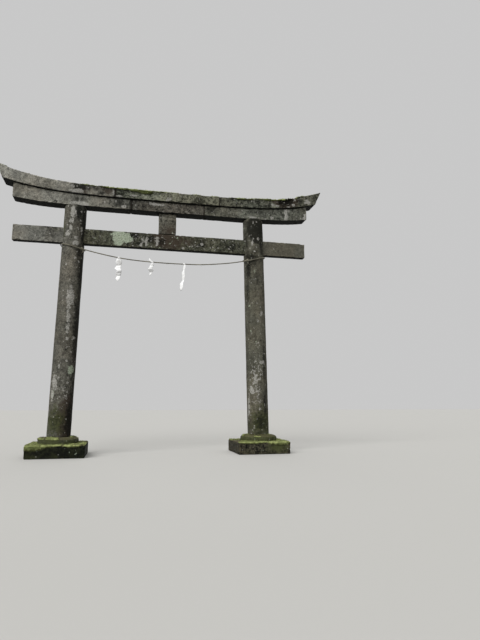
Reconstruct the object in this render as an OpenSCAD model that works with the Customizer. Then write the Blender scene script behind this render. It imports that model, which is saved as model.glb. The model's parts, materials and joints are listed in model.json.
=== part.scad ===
// Stone gate of two leaning pillars, a tie beam and two stacked, upswept lintels.
// The origin is on the ground, midway between the pillars. X runs along the gate,
// the front looks along -Y, and Z points up. Lengths are in millimetres.

/* [Footings] */
// Side of the square ground slab under each pillar
slab_side = 650; // [600:10:900]
// Thickness of the ground slab
slab_h = 150; // [100:5:220]
// Width of the chamfer round the top of the ground slab
slab_chamfer = 14; // [4:1:30]
// Diameter of the round seat stone under each pillar
seat_d = 465; // [400:5:580]
// Height of the seat stone
seat_h = 75; // [70:5:140]
// Height of the seat stone's rounded shoulder
seat_shoulder = 42; // [10:1:50]
// Width of the flat ring round the pillar's foot
seat_ledge = 8; // [2:1:30]

/* [Pillars] */
// Distance between the pillars' axes where they stand on the seats
pillar_spacing = 2424; // [2000:2:2900]
// Inward lean of each pillar, in degrees
pillar_lean = 1.31; // [0:0.01:2.5]
// Diameter of a pillar at its foot
pillar_foot_d = 276; // [240:1:340]
// Diameter of a pillar under the lintel
pillar_head_d = 270; // [220:1:320]
// Side of the square tenon at each end of a pillar
pillar_tenon = 100; // [70:1:140]
// Length of the square tenon at each end of a pillar
pillar_tenon_h = 55; // [30:1:60]

/* [Tie beam] */
// Height of the tie beam's underside above the seats
tie_rise = 2342; // [2000:1:2450]
// Height of the tie beam
tie_h = 202; // [150:1:240]
// Thickness of the tie beam, front to back
tie_t = 90; // [60:1:120]
// Length of the tie beam from end to end
tie_len = 3746; // [3300:2:4200]
// Width of the chamfer along the tie beam's edges
tie_chamfer = 6; // [1:1:15]

/* [Centre strut] */
// Width of the strut between the tie beam and the lintel
strut_w = 225; // [150:1:320]
// Thickness of the strut, front to back
strut_t = 90; // [60:1:120]

/* [Lower lintel] */
// Height of the lower lintel's underside above the seats, at the middle
lower_rise = 2822; // [2760:1:3000]
// Height of the lower lintel at the middle
lower_h = 136; // [110:1:170]
// Thickness of the lower lintel, front to back
lower_t = 184; // [160:1:230]
// Length of the lower lintel from end to end
lower_len = 3782; // [3400:2:3900]
// Distance between the two joints in the lower lintel
lower_joints = 940; // [600:10:1300]
// How far the underside's curve has risen at the top lintel's ends
lower_sweep = 78; // [20:1:110]
// Sharpness of the underside's curve towards the ends
lower_power = 6; // [3:0.1:8]

/* [Top lintel] */
// Height of the top lintel's edge at the middle
top_edge_h = 113; // [80:1:150]
// Height of the ridge above the top lintel's edges
top_ridge = 24; // [5:1:60]
// Thickness of the top lintel at its bed, front to back
top_t = 246; // [235:1:320]
// How far the front and back faces lean out from bed to edge
top_flare = 30; // [0:1:50]
// Length of the top lintel along its bed
top_len = 4030; // [3960:2:4400]
// How far each end face leans out from bed to edge
top_end_slant = 72; // [0:1:90]
// Distance between the two joints in the top lintel
top_joints = 1340; // [1000:10:1800]
// How far the bed between the lintels has risen at the ends
bed_sweep = 137; // [80:1:190]
// Sharpness of the bed's curve towards the ends
bed_power = 4.15; // [3:0.05:6]
// How far the top lintel's edge has risen at the ends
edge_sweep = 172; // [100:1:220]
// Sharpness of the edge's curve towards the ends
edge_power = 3.95; // [3:0.05:6]

/* [Joints] */
// Width of the open joint between two stones in a row
joint_gap = 4; // [1:1:10]
// Thickness of the tongue at each end of a lintel's middle stone, front to back
tongue_t = 60; // [30:1:90]
// How far such a tongue reaches into the next stone
tongue_len = 25; // [10:1:40]
// Clearance on each side of a tenon or beam in its mortise
mortise_fit = 2; // [0.5:0.5:5]

/* [Rope and streamers] */
// Diameter of the straw rope
rope_d = 14; // [8:1:18]
// Thickness of a folded paper streamer
paper_t = 2; // [1:0.5:4]
// Width of one fold of a streamer
paper_w = 62; // [40:1:90]
// Number of folds in the left and right streamers
paper_folds = 4; // [2:1:5]
// Height of one fold of the left streamer
left_fold_h = 66; // [40:1:90]
// Height of one fold of the middle streamer
middle_fold_h = 76; // [40:1:90]
// Height of one fold of the right streamer
right_fold_h = 78; // [40:1:90]
// How far the left streamer has turned from the front, in degrees
left_turn = 20; // [-90:1:90]
// How far the middle streamer has turned from the front, in degrees
middle_turn = -25; // [-90:1:90]
// How far the right streamer has turned from the front, in degrees
right_turn = 70; // [-90:1:90]

/* [Hidden] */

$fn = 96;
LEFT = -1;
RIGHT = 1;

granite = "#77746b";
mossy_granite = "#66684f";
brown_granite = "#5f594e";
straw = "#9a8b63";
paper = "#f2f1ec";

// Heights above the ground
seat_top = slab_h + seat_h;
tie_z = seat_top + tie_rise;
lower_z = seat_top + lower_rise;
bed_z = lower_z + lower_h;
edge_z = bed_z + top_edge_h;

// Anything that is cut away reaches this far past the stone
spare = 20;

// The curves are drawn as chords between stations, which all the stones share,
// so that one stone's bed lies flat on the next
station_step = 84;
curve_half = top_len / 2;
station_n = ceil((curve_half + top_end_slant) / station_step) + 1;
stations = [for (i = [-station_n : station_n]) i * station_step];

function swept(x, base, sweep, power) = base + sweep * pow(abs(x) / curve_half, power);
under_curve = [for (x = stations) [x, swept(x, lower_z, lower_sweep, lower_power)]];
bed_curve = [for (x = stations) [x, swept(x, bed_z, bed_sweep, bed_power)]];
edge_curve = [for (x = stations) [x, swept(x, edge_z, edge_sweep, edge_power)]];

// Distance of a pillar's axis from the middle of the gate at a height
function pillar_x(z) = pillar_spacing / 2 - tan(pillar_lean) * (z - seat_top);

// Both ends of a stone and every station between them
function span(x0, x1) = concat([x0], [for (x = stations) if (x > x0 + 1 && x < x1 - 1) x], [x1]);
function reversed(list) = [for (i = [len(list) - 1 : -1 : 0]) list[i]];
function along(curve, xs) = [for (x = xs) [x, lookup(x, curve)]];

// Extrudes an outline drawn in X and Z by a thickness centred on Y
module upright(thickness) {
    rotate([90, 0, 0]) linear_extrude(thickness, center = true) children();
}

// Everything above the lower lintel's underside
module above_underside() {
    xs = span(-curve_half, curve_half);
    top = edge_z + edge_sweep;
    upright(lower_t * 3) polygon(concat(
        along(under_curve, xs), [[curve_half, top], [-curve_half, top]]));
}

// Square slab with a chamfer round its top
module chamfered_slab(side, h, chamfer) {
    outline = [
        [-side / 2, 0], [side / 2, 0], [side / 2, h - chamfer], [side / 2 - chamfer, h],
        [-side / 2 + chamfer, h], [-side / 2, h - chamfer]
    ];
    intersection() {
        upright(side) polygon(outline);
        rotate([0, 0, 90]) upright(side) polygon(outline);
    }
}

module base_slab(side) {
    color(mossy_granite) translate([side * pillar_spacing / 2, 0, 0])
        chamfered_slab(slab_side, slab_h, slab_chamfer);
}

// Low round stone with a socket for the pillar's tenon. From the flat ring round
// the pillar's foot its shoulder falls in a quarter of an ellipse to the rim.
module pillar_seat(side) {
    r = seat_d / 2;
    flat_r = pillar_foot_d / 2 + seat_ledge;
    socket = pillar_tenon + 2 * mortise_fit;
    color(mossy_granite) translate([side * pillar_spacing / 2, 0, slab_h]) difference() {
        rotate_extrude() {
            square([r, seat_h - seat_shoulder]);
            square([flat_r, seat_h]);
            translate([flat_r, seat_h - seat_shoulder]) scale([r - flat_r, seat_shoulder])
                intersection() {
                    circle(1);
                    square(1);
                }
        }
        translate([-socket / 2, -socket / 2, seat_h - pillar_tenon_h - mortise_fit])
            cube([socket, socket, pillar_tenon_h + mortise_fit + spare]);
    }
}

// Square tenon centred on a pillar's axis at height z, with room added all round
module tenon(side, z, h, room) {
    width = pillar_tenon + 2 * room;
    translate([side * pillar_x(z) - width / 2, -width / 2, z]) cube([width, width, h]);
}

// Height of the lower lintel's underside over a pillar's axis
head_z = lookup(pillar_x(lower_z), under_curve);

// Straight round shaft that leans inwards, cut level at the foot and to the
// lintel's curve at the head, with a mortise right through for the tie beam
module pillar(side) {
    shaft_h = lower_rise + lower_h;
    color(granite) {
        difference() {
            translate([side * pillar_spacing / 2, 0, seat_top])
                rotate([0, -side * pillar_lean, 0])
                    translate([0, 0, -spare])
                        cylinder(h = shaft_h + spare, d1 = pillar_foot_d, d2 = pillar_head_d);
            translate([side * pillar_spacing / 2 - seat_d, -seat_d, seat_top - 4 * spare])
                cube([2 * seat_d, 2 * seat_d, 4 * spare]);
            above_underside();
            tie_mortise(side);
        }
        tenon(side, seat_top - pillar_tenon_h, pillar_tenon_h, 0);
        tenon_head(side);
    }
}

// Tenon at the pillar's head, which starts inside the shaft
module tenon_head(side) {
    tenon_root = pillar_tenon_h;
    tenon(side, head_z - tenon_root, tenon_root + pillar_tenon_h, 0);
}

// Through mortise that the tie beam rests in
module tie_mortise(side) {
    reach = pillar_foot_d;
    translate([side * pillar_x(tie_z) - reach, -tie_t / 2 - mortise_fit, tie_z])
        cube([2 * reach, tie_t + 2 * mortise_fit, tie_h + mortise_fit]);
}

// Length of beam with chamfered edges, from x0 to x1
module tie_stone(x0, x1) {
    y = tie_t / 2;
    c = tie_chamfer;
    color(granite) translate([x0, 0, tie_z]) rotate([90, 0, 90]) linear_extrude(x1 - x0)
        polygon([
            [-y + c, 0], [y - c, 0], [y, c], [y, tie_h - c],
            [y - c, tie_h], [-y + c, tie_h], [-y, tie_h - c], [-y, c]
        ]);
}

// The tie beam's stones meet inside the pillars
tie_joint_x = pillar_x(tie_z + tie_h / 2);

module tie_beam_centre() {
    tie_stone(-tie_joint_x + joint_gap / 2, tie_joint_x - joint_gap / 2);
}

module tie_beam_end(side) {
    inner = tie_joint_x + joint_gap / 2;
    if (side == LEFT) tie_stone(-tie_len / 2, -inner);
    else tie_stone(inner, tie_len / 2);
}

// Upright block from the tie beam to the lintel's underside
module centre_strut() {
    strut_top = edge_z;
    color(brown_granite) difference() {
        translate([-strut_w / 2, -strut_t / 2, tie_z + tie_h])
            cube([strut_w, strut_t, strut_top - tie_z - tie_h]);
        above_underside();
    }
}

// Stone of the lower lintel from x0 to x1
module lower_stone(x0, x1, thickness = lower_t) {
    xs = span(x0, x1);
    upright(thickness) polygon(concat(along(under_curve, xs), along(bed_curve, reversed(xs))));
}

// How far a tongue's tip is from the middle of the joint that it crosses
tongue_reach = joint_gap / 2 + tongue_len;

// Upright groove for the tongue that crosses the joint at x, between heights z0
// and z1
module tongue_groove(x, z0, z1) {
    reach = tongue_reach + mortise_fit;
    thickness = tongue_t + 2 * mortise_fit;
    translate([x - reach, -thickness / 2, z0 - spare])
        cube([2 * reach, thickness, z1 - z0 + 2 * spare]);
}

module lower_lintel_centre() {
    half = (lower_joints - joint_gap) / 2;
    tip = lower_joints / 2 + tongue_reach;
    color(granite) {
        lower_stone(-half, half);
        lower_stone(-tip, tip, tongue_t);
    }
}

module lower_lintel_end(side) {
    inner = (lower_joints + joint_gap) / 2;
    outer = lower_len / 2;
    color(granite) difference() {
        if (side == LEFT) lower_stone(-outer, -inner);
        else lower_stone(inner, outer);
        tenon_socket(side);
        tongue_groove(side * lower_joints / 2, lower_z, bed_z);
    }
}

// Blind socket in the lower lintel for the pillar's head tenon
module tenon_socket(side) {
    below = 2 * spare;
    tenon_root = pillar_tenon_h;
    width = pillar_tenon + 2 * mortise_fit;
    translate([side * pillar_x(head_z - tenon_root) - width / 2, -width / 2, head_z - below])
        cube([width, width, below + pillar_tenon_h + mortise_fit]);
}

// Five corners of the top lintel's section: bed, edges that lean out, and ridge.
// Where the section is an end face, the upper corners lean out by slant as well,
// and the ridge lies in the same sloping plane.
function top_section(x, slant) =
    let (
        upper_x = x + slant,
        bed = lookup(x, bed_curve),
        edge = lookup(upper_x, edge_curve),
        ridge = edge + top_ridge,
        ridge_x = x + slant * (ridge - bed) / (edge - bed),
        y = top_t / 2
    ) [
        [x, -y, bed], [x, y, bed],
        [upper_x, y + top_flare, edge],
        [ridge_x, 0, ridge],
        [upper_x, -y - top_flare, edge]
    ];

// Triangles between ring i and the next in a loft of rings with n corners
function wall_between(i, n) = [
    for (k = [0 : n - 1])
        let (a = i * n + k, b = i * n + (k + 1) % n)
            each [[a, a + n, b], [b, a + n, b + n]]
];

// Solid skin over a list of rings, each a list of the same number of corners
module loft(rings) {
    n = len(rings[0]);
    last = (len(rings) - 1) * n;
    polyhedron(
        points = [for (ring = rings) each ring],
        faces = concat(
            [[for (k = [0 : n - 1]) k]],
            [for (i = [0 : len(rings) - 2]) each wall_between(i, n)],
            [[for (k = [n - 1 : -1 : 0]) last + k]]
        )
    );
}

// Stone of the top lintel from x0 to x1, with the slant of each end face
module top_stone(x0, slant0, x1, slant1) {
    xs = span(x0, x1);
    loft([
        for (i = [0 : len(xs) - 1])
            top_section(xs[i], i == 0 ? slant0 : i == len(xs) - 1 ? slant1 : 0)
    ]);
}

module top_lintel_centre() {
    half = (top_joints - joint_gap) / 2;
    tip = top_joints / 2 + tongue_reach;
    color(granite) {
        top_stone(-half, 0, half, 0);
        intersection() {
            top_stone(-tip, 0, tip, 0);
            translate([0, 0, edge_z]) cube([3 * tip, tongue_t, 4 * top_edge_h], center = true);
        }
    }
}

module top_lintel_end(side) {
    inner = (top_joints + joint_gap) / 2;
    outer = top_len / 2;
    color(granite) difference() {
        if (side == LEFT) top_stone(-outer, -top_end_slant, -inner, 0);
        else top_stone(inner, 0, outer, top_end_slant);
        tongue_groove(side * top_joints / 2, bed_z, edge_z + 2 * top_ridge);
    }
}

// Points of the rope where a streamer hangs from it
left_hang = [-600, -148, 2389];
middle_hang = [-200, -148, 2359];
right_hang = [200, -148, 2356];

// Route of the rope: from its knot beside the left pillar round the back of the
// pillar, across its front, over to the right pillar and round that to its knot
rope_route = [
    [-1045, -115, 2484], [-1021, -45, 2494], [-1021, 45, 2506], [-1074, 118, 2517],
    [-1160, 146, 2526], [-1246, 118, 2537], [-1299, 45, 2546], [-1299, -45, 2545],
    [-1246, -118, 2529], [-1160, -146, 2506], [-1060, -147, 2480], [-960, -148, 2455],
    [-800, -148, 2422], left_hang, [-400, -148, 2369], middle_hang,
    [0, -148, 2355], right_hang, [400, -148, 2361], [600, -148, 2379],
    [800, -148, 2406], [960, -148, 2436], [1060, -147, 2459], [1160, -146, 2486],
    [1246, -118, 2513], [1299, -45, 2535], [1299, 45, 2540], [1246, 118, 2533],
    [1160, 146, 2523], [1074, 118, 2512], [1021, 45, 2498], [1021, -45, 2482],
    [1045, -115, 2470]
];
rope_ring_step = 50;
rope_sides = 10;

// Smooth curve through b and c, with a and d before and after them
function curve_point(a, b, c, d, t) =
    0.5 * (2 * b + (c - a) * t + (2 * a - 5 * b + 4 * c - d) * t * t
           + (3 * b - a - 3 * c + d) * t * t * t);

function smoothed(p) = concat(
    [for (i = [0 : len(p) - 2])
        let (
            before = p[max(i - 1, 0)],
            after = p[min(i + 2, len(p) - 1)],
            n = max(1, round(norm(p[i + 1] - p[i]) / rope_ring_step))
        )
            for (k = [0 : n - 1]) curve_point(before, p[i], p[i + 1], after, k / n)
    ],
    [p[len(p) - 1]]
);

function unit(v) = v / norm(v);

// Round ring of points about the point p, square to the direction d
function ring(p, d, r, sides) =
    let (across = unit(cross(d, [0, 0, 1])), up = cross(across, d))
        [for (k = [0 : sides - 1])
            p + r * (sin(360 * k / sides) * across - cos(360 * k / sides) * up)];

module straw_rope() {
    line = smoothed(rope_route);
    last = len(line) - 1;
    color(straw) loft([
        for (i = [0 : last])
            ring(line[i], unit(line[min(i + 1, last)] - line[max(i - 1, 0)]), rope_d / 2, rope_sides)
    ]);
}

// Air between the rope and the streamers that hang under it
hang_gap = 0.3;

// Zigzag strip of paper: a tab under the rope, then folds that step down to
// alternate sides. It faces the front when turned is 0.
module streamer(hang, folds, fold_h, turned) {
    tab_w = paper_w / 3;
    tab_h = 14;
    step = paper_w / 4;
    overlap = 1;
    color(paper) translate(hang - [0, 0, rope_d / 2 + hang_gap]) rotate([0, 0, turned])
        upright(paper_t) {
            translate([-tab_w / 2, -tab_h - overlap]) square([tab_w, tab_h + overlap]);
            for (i = [0 : folds - 1])
                let (
                    x = (i % 2 == 0 ? -1 : 1) * step / 2,
                    top = -tab_h - i * fold_h,
                    low = top - fold_h - (i < folds - 1 ? overlap : 0)
                )
                    polygon([
                        [x - paper_w / 2, low], [x + paper_w / 2, low],
                        [x + paper_w / 4, top], [x - paper_w / 4, top]
                    ]);
        }
}

module paper_streamer_left() {
    streamer(left_hang, paper_folds, left_fold_h, left_turn);
}

module paper_streamer_middle() {
    streamer(middle_hang, max(1, paper_folds - 2), middle_fold_h, middle_turn);
}

module paper_streamer_right() {
    streamer(right_hang, paper_folds, right_fold_h, right_turn);
}

base_slab(LEFT);  // base_slab_left
base_slab(RIGHT);  // base_slab_right
pillar_seat(LEFT);  // pillar_seat_left
pillar_seat(RIGHT);  // pillar_seat_right
pillar(LEFT);  // pillar_left
pillar(RIGHT);  // pillar_right
tie_beam_centre();
tie_beam_end(LEFT);  // tie_beam_end_left
tie_beam_end(RIGHT);  // tie_beam_end_right
centre_strut();
lower_lintel_end(LEFT);  // lower_lintel_left
lower_lintel_centre();
lower_lintel_end(RIGHT);  // lower_lintel_right
top_lintel_end(LEFT);  // top_lintel_left
top_lintel_centre();
top_lintel_end(RIGHT);  // top_lintel_right
straw_rope();
paper_streamer_left();
paper_streamer_middle();
paper_streamer_right();
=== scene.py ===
import json
import math
import random
from typing import NamedTuple

import bmesh
import bpy
import numpy as np
from bpy.props import FloatProperty, FloatVectorProperty, IntProperty, PointerProperty
from mathutils import Matrix, Vector, noise
from mathutils.kdtree import KDTree


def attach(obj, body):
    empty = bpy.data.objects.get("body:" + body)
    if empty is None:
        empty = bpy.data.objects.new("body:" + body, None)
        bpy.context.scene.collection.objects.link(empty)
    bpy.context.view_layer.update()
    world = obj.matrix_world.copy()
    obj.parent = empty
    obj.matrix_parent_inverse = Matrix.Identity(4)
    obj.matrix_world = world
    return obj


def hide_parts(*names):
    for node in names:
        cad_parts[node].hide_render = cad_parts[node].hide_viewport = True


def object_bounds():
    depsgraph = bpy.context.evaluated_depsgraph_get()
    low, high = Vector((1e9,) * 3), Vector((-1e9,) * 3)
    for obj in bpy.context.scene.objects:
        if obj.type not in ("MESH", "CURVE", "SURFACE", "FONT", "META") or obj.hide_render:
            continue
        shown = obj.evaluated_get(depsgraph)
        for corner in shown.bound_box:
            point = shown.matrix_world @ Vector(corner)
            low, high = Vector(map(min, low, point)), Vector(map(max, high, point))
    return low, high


bl_info = {
    "name": "Stone Gate",
    "version": (1, 0, 0),
    "blender": (4, 5, 0),
    "location": "3D View > Sidebar > Stone Gate",
    "description": "Weathered stones, moss, straw rope and paper streamers of a stone gate",
    "category": "Object",
}

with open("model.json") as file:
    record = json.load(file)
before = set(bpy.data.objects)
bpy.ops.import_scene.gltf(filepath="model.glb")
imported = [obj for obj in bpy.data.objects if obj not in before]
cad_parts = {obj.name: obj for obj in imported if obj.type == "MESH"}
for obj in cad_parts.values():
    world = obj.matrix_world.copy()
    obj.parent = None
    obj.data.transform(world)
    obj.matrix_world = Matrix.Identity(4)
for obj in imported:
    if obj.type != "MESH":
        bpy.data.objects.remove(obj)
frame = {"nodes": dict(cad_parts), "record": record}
CAD_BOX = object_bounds()
BODY = "root"
RECORD_SLOTS = {part["node"]: part["material_slot"] for part in frame["record"]["subparts"]}


def linear(hex_colour):
    """Linear red, green and blue of a screen colour written as six hex digits"""
    channels = [int(hex_colour[i : i + 2], 16) / 255 for i in (0, 2, 4)]
    return tuple(
        c / 12.92 if c <= 0.04045 else ((c + 0.055) / 1.055) ** 2.4 for c in channels
    )


def colour_property(name, description, hex_colour):
    """A colour that the user can change"""
    return FloatVectorProperty(
        name=name, description=description, subtype="COLOR", size=3, min=0, max=1,
        default=linear(hex_colour),
    )


def number_property(name, description, number, **options):
    """A number that the user can change"""
    return FloatProperty(name=name, description=description, default=number, **options)


def length_property(name, description, metres):
    """A length that the user can change"""
    return number_property(name, description, metres, unit="LENGTH")


def angle_property(name, description, degrees):
    """An angle that the user can change"""
    return number_property(name, description, math.radians(degrees), subtype="ANGLE")


def share_property(name, description, share):
    """A share from 0 to 1 that the user can change"""
    return number_property(name, description, share, subtype="FACTOR", min=0, max=1)


def count_property(name, description, number):
    """A number of pieces that the user can change"""
    return IntProperty(name=name, description=description, default=number, min=0)


class GateStageSettings(bpy.types.PropertyGroup):
    """Camera, floor and lights"""

    camera_place: FloatVectorProperty(
        name="Camera place", description="Where the camera stands",
        default=(-0.5232, -6.5747, 0.6062), subtype="TRANSLATION", unit="LENGTH",
    )
    camera_yaw: angle_property("Camera yaw", "Turn of the camera towards +X", 12.823)
    camera_pitch: angle_property("Camera pitch", "Tilt of the camera above the horizon", 9.114)
    camera_lens: number_property("Lens", "Focal length in millimetres", 29.32)
    floor_side: length_property("Floor side", "Side of the square floor", 90.0)
    floor_colour: colour_property("Floor", "Colour of the floor", "c4c3bf")
    bounce: share_property("Bounce", "Share of its light that the floor gives the gate", 0.35)
    key_strength: number_property("Key light", "Strength of the light from the front left", 2.8)
    back_strength: number_property("Back light", "Strength of the faint light from behind", 0.9)
    softness: angle_property("Softness", "Angle that each of the two lights covers", 50)
    sky_strength: number_property("Sky", "Strength of the even light from all round", 0.5)
    backdrop: number_property("Backdrop", "Brightness of what the camera sees behind", 0.58)


class GateStoneSettings(bpy.types.PropertyGroup):
    """Shape of the weathered stones and of the earth in their joints"""

    quad_size: length_property("Quad size", "Size of the faces of a stone's skin", 0.0075)
    arris_reach: length_property("Arris reach", "How far wear reaches from an arris", 0.028)
    hollow_depth: length_property("Hollows", "Depth of the wide shallow hollows", 0.0035)
    tooling_depth: length_property("Tooling", "Depth of the tooled and weathered skin", 0.0012)
    chip_depth: length_property("Chips", "Depth of the chips along the arrises", 0.007)
    moss_height: length_property("Moss height", "Height of the thickest moss", 0.008)
    joint_gap: length_property("Joint gap", "Width of the lintels' open joints", 0.004)
    joint_set_back: length_property("Earth set back", "Depth of the earth in a joint", 0.007)


class GateGrowthSettings(bpy.types.PropertyGroup):
    """Colours of what grows on the stones and stains them; the black one also paints the shade of
    their undersides
    """

    lichen_colour: colour_property("Lichen", "Grey-green crust", "b0bba4")
    pale_colour: colour_property("Pale crust", "Whitish crust", "aaa8a1")
    # Black film of algae, also painted on faces that look down as their shade
    black_film_and_shade: colour_property("Black algae", "Film on wet stone", "0f100c")
    brown_colour: colour_property("Brown stain", "Stain of run-off", "3a3028")
    green_colour: colour_property("Green film", "Thin algae near the ground", "464a2c")
    moss_dark: colour_property("Moss shade", "Moss in its hollows", "2a3013")
    moss_light: colour_property("Moss tips", "Moss at its tips", "b5be7c")
    moss_dry: colour_property("Dry moss", "Thin moss and litter at its edge", "6f674b")


class GateRopeSettings(bpy.types.PropertyGroup):
    """Straw rope"""

    diameter: length_property("Diameter", "Diameter of the rope", 0.014)
    lay_length: length_property("Lay", "Length of one turn of a strand", 0.052)
    straw_light: colour_property("Light straw", "Colour of the straw's tops", "94907f")
    straw_dark: colour_property("Dark straw", "Colour between the straws", "4a463b")
    loose_straws: count_property("Loose straws", "Number of straws that stick out", 150)
    knot_radius: length_property("Knot radius", "Radius of the turns of a knot", 0.0135)
    tail_length: length_property("Tail", "Length of the loose end under a knot", 0.035)


class GateStreamerSettings(bpy.types.PropertyGroup):
    """Folded paper streamers"""

    thickness: length_property("Thickness", "Thickness of the paper", 0.0006)
    curl: length_property("Curl", "How far the paper bulges between its edges", 0.005)
    paper_colour: colour_property("Paper", "Colour of the paper", "f3f3f2")
    soiled_colour: colour_property("Soiled paper", "Colour of weathered paper", "b3ada4")


class GateMossSettings(bpy.types.PropertyGroup):
    """Cushions and sprigs of moss"""

    cushions: count_property("Cushions", "Number of moss cushions in each bed", 420)
    sprigs: count_property("Sprigs", "Number of moss sprigs in each bed", 3600)
    cushion_radius: length_property("Cushion radius", "Largest radius of a cushion", 0.012)
    sprig_height: length_property("Sprig height", "Largest height of a sprig", 0.014)


class StoneLook(NamedTuple):
    """How one stone looks: its clean colour and how much of it is covered"""

    tone: str
    lichen: float = 0.0
    pale: float = 0.0
    run_off: float = 0.3
    mottle: float = 1.0
    specks: float = 0.15
    green: float = 0.0
    moss: float = 0.0


STONES = {
    # The left slab's very dark tone is partly painted shade, over its damp, mossy stone
    "base_slab_left": StoneLook(
        "181a11", lichen=0.03, mottle=1.8, specks=0.03, green=0.35, moss=0.95
    ),
    "base_slab_right": StoneLook(
        "37342a", lichen=0.04, pale=0.02, mottle=1.8, specks=0.05, green=0.3, moss=0.9
    ),
    "pillar_seat_left": StoneLook("3c3c33", lichen=0.05, run_off=0.4, green=0.7, moss=0.55),
    "pillar_seat_right": StoneLook("42432f", lichen=0.05, run_off=0.4, green=0.6, moss=0.5),
    "pillar_left": StoneLook("57554e", lichen=0.03, pale=0.03, run_off=0.5, mottle=0.8, specks=0.3),
    "pillar_right": StoneLook(
        "545248", lichen=0.04, pale=0.06, run_off=0.5, mottle=0.5, specks=0.2
    ),
    "tie_beam_centre": StoneLook("444439", lichen=0.05, pale=0.09, mottle=1.3),
    "tie_beam_end_left": StoneLook("74726b", pale=0.02, run_off=0.1, mottle=0.6, specks=0.06),
    "tie_beam_end_right": StoneLook("545249", pale=0.02, run_off=0.15, mottle=0.5, specks=0.05),
    "centre_strut": StoneLook("5a5850", pale=0.06, run_off=0.8),
    "lower_lintel_left": StoneLook("75736b", pale=0.04, run_off=0.15, mottle=0.7, specks=0.08),
    "lower_lintel_centre": StoneLook("484640", lichen=0.02, pale=0.08, mottle=1.3, specks=0.2),
    "lower_lintel_right": StoneLook("55554d", lichen=0.02, pale=0.08, mottle=1.1),
    "top_lintel_left": StoneLook(
        "807e76", pale=0.03, run_off=0.2, mottle=0.8, specks=0.08, moss=0.25
    ),
    "top_lintel_centre": StoneLook(
        "696a5d", lichen=0.03, pale=0.07, run_off=0.4, mottle=1.3, specks=0.2, moss=0.7
    ),
    "top_lintel_right": StoneLook(
        "56574d", lichen=0.02, pale=0.07, run_off=0.45, mottle=1.4, specks=0.2, moss=0.5
    ),
}


class Mark(NamedTuple):
    """A growth, a stain or a patch of painted shade on the front of a stone: its centre in X and Z,
    and its size
    """

    x: float
    z: float
    width: float
    height: float
    strength: float = 1.0


MARK_KINDS = ("lichen", "pale", "light", "black", "brown", "green", "moss")

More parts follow.
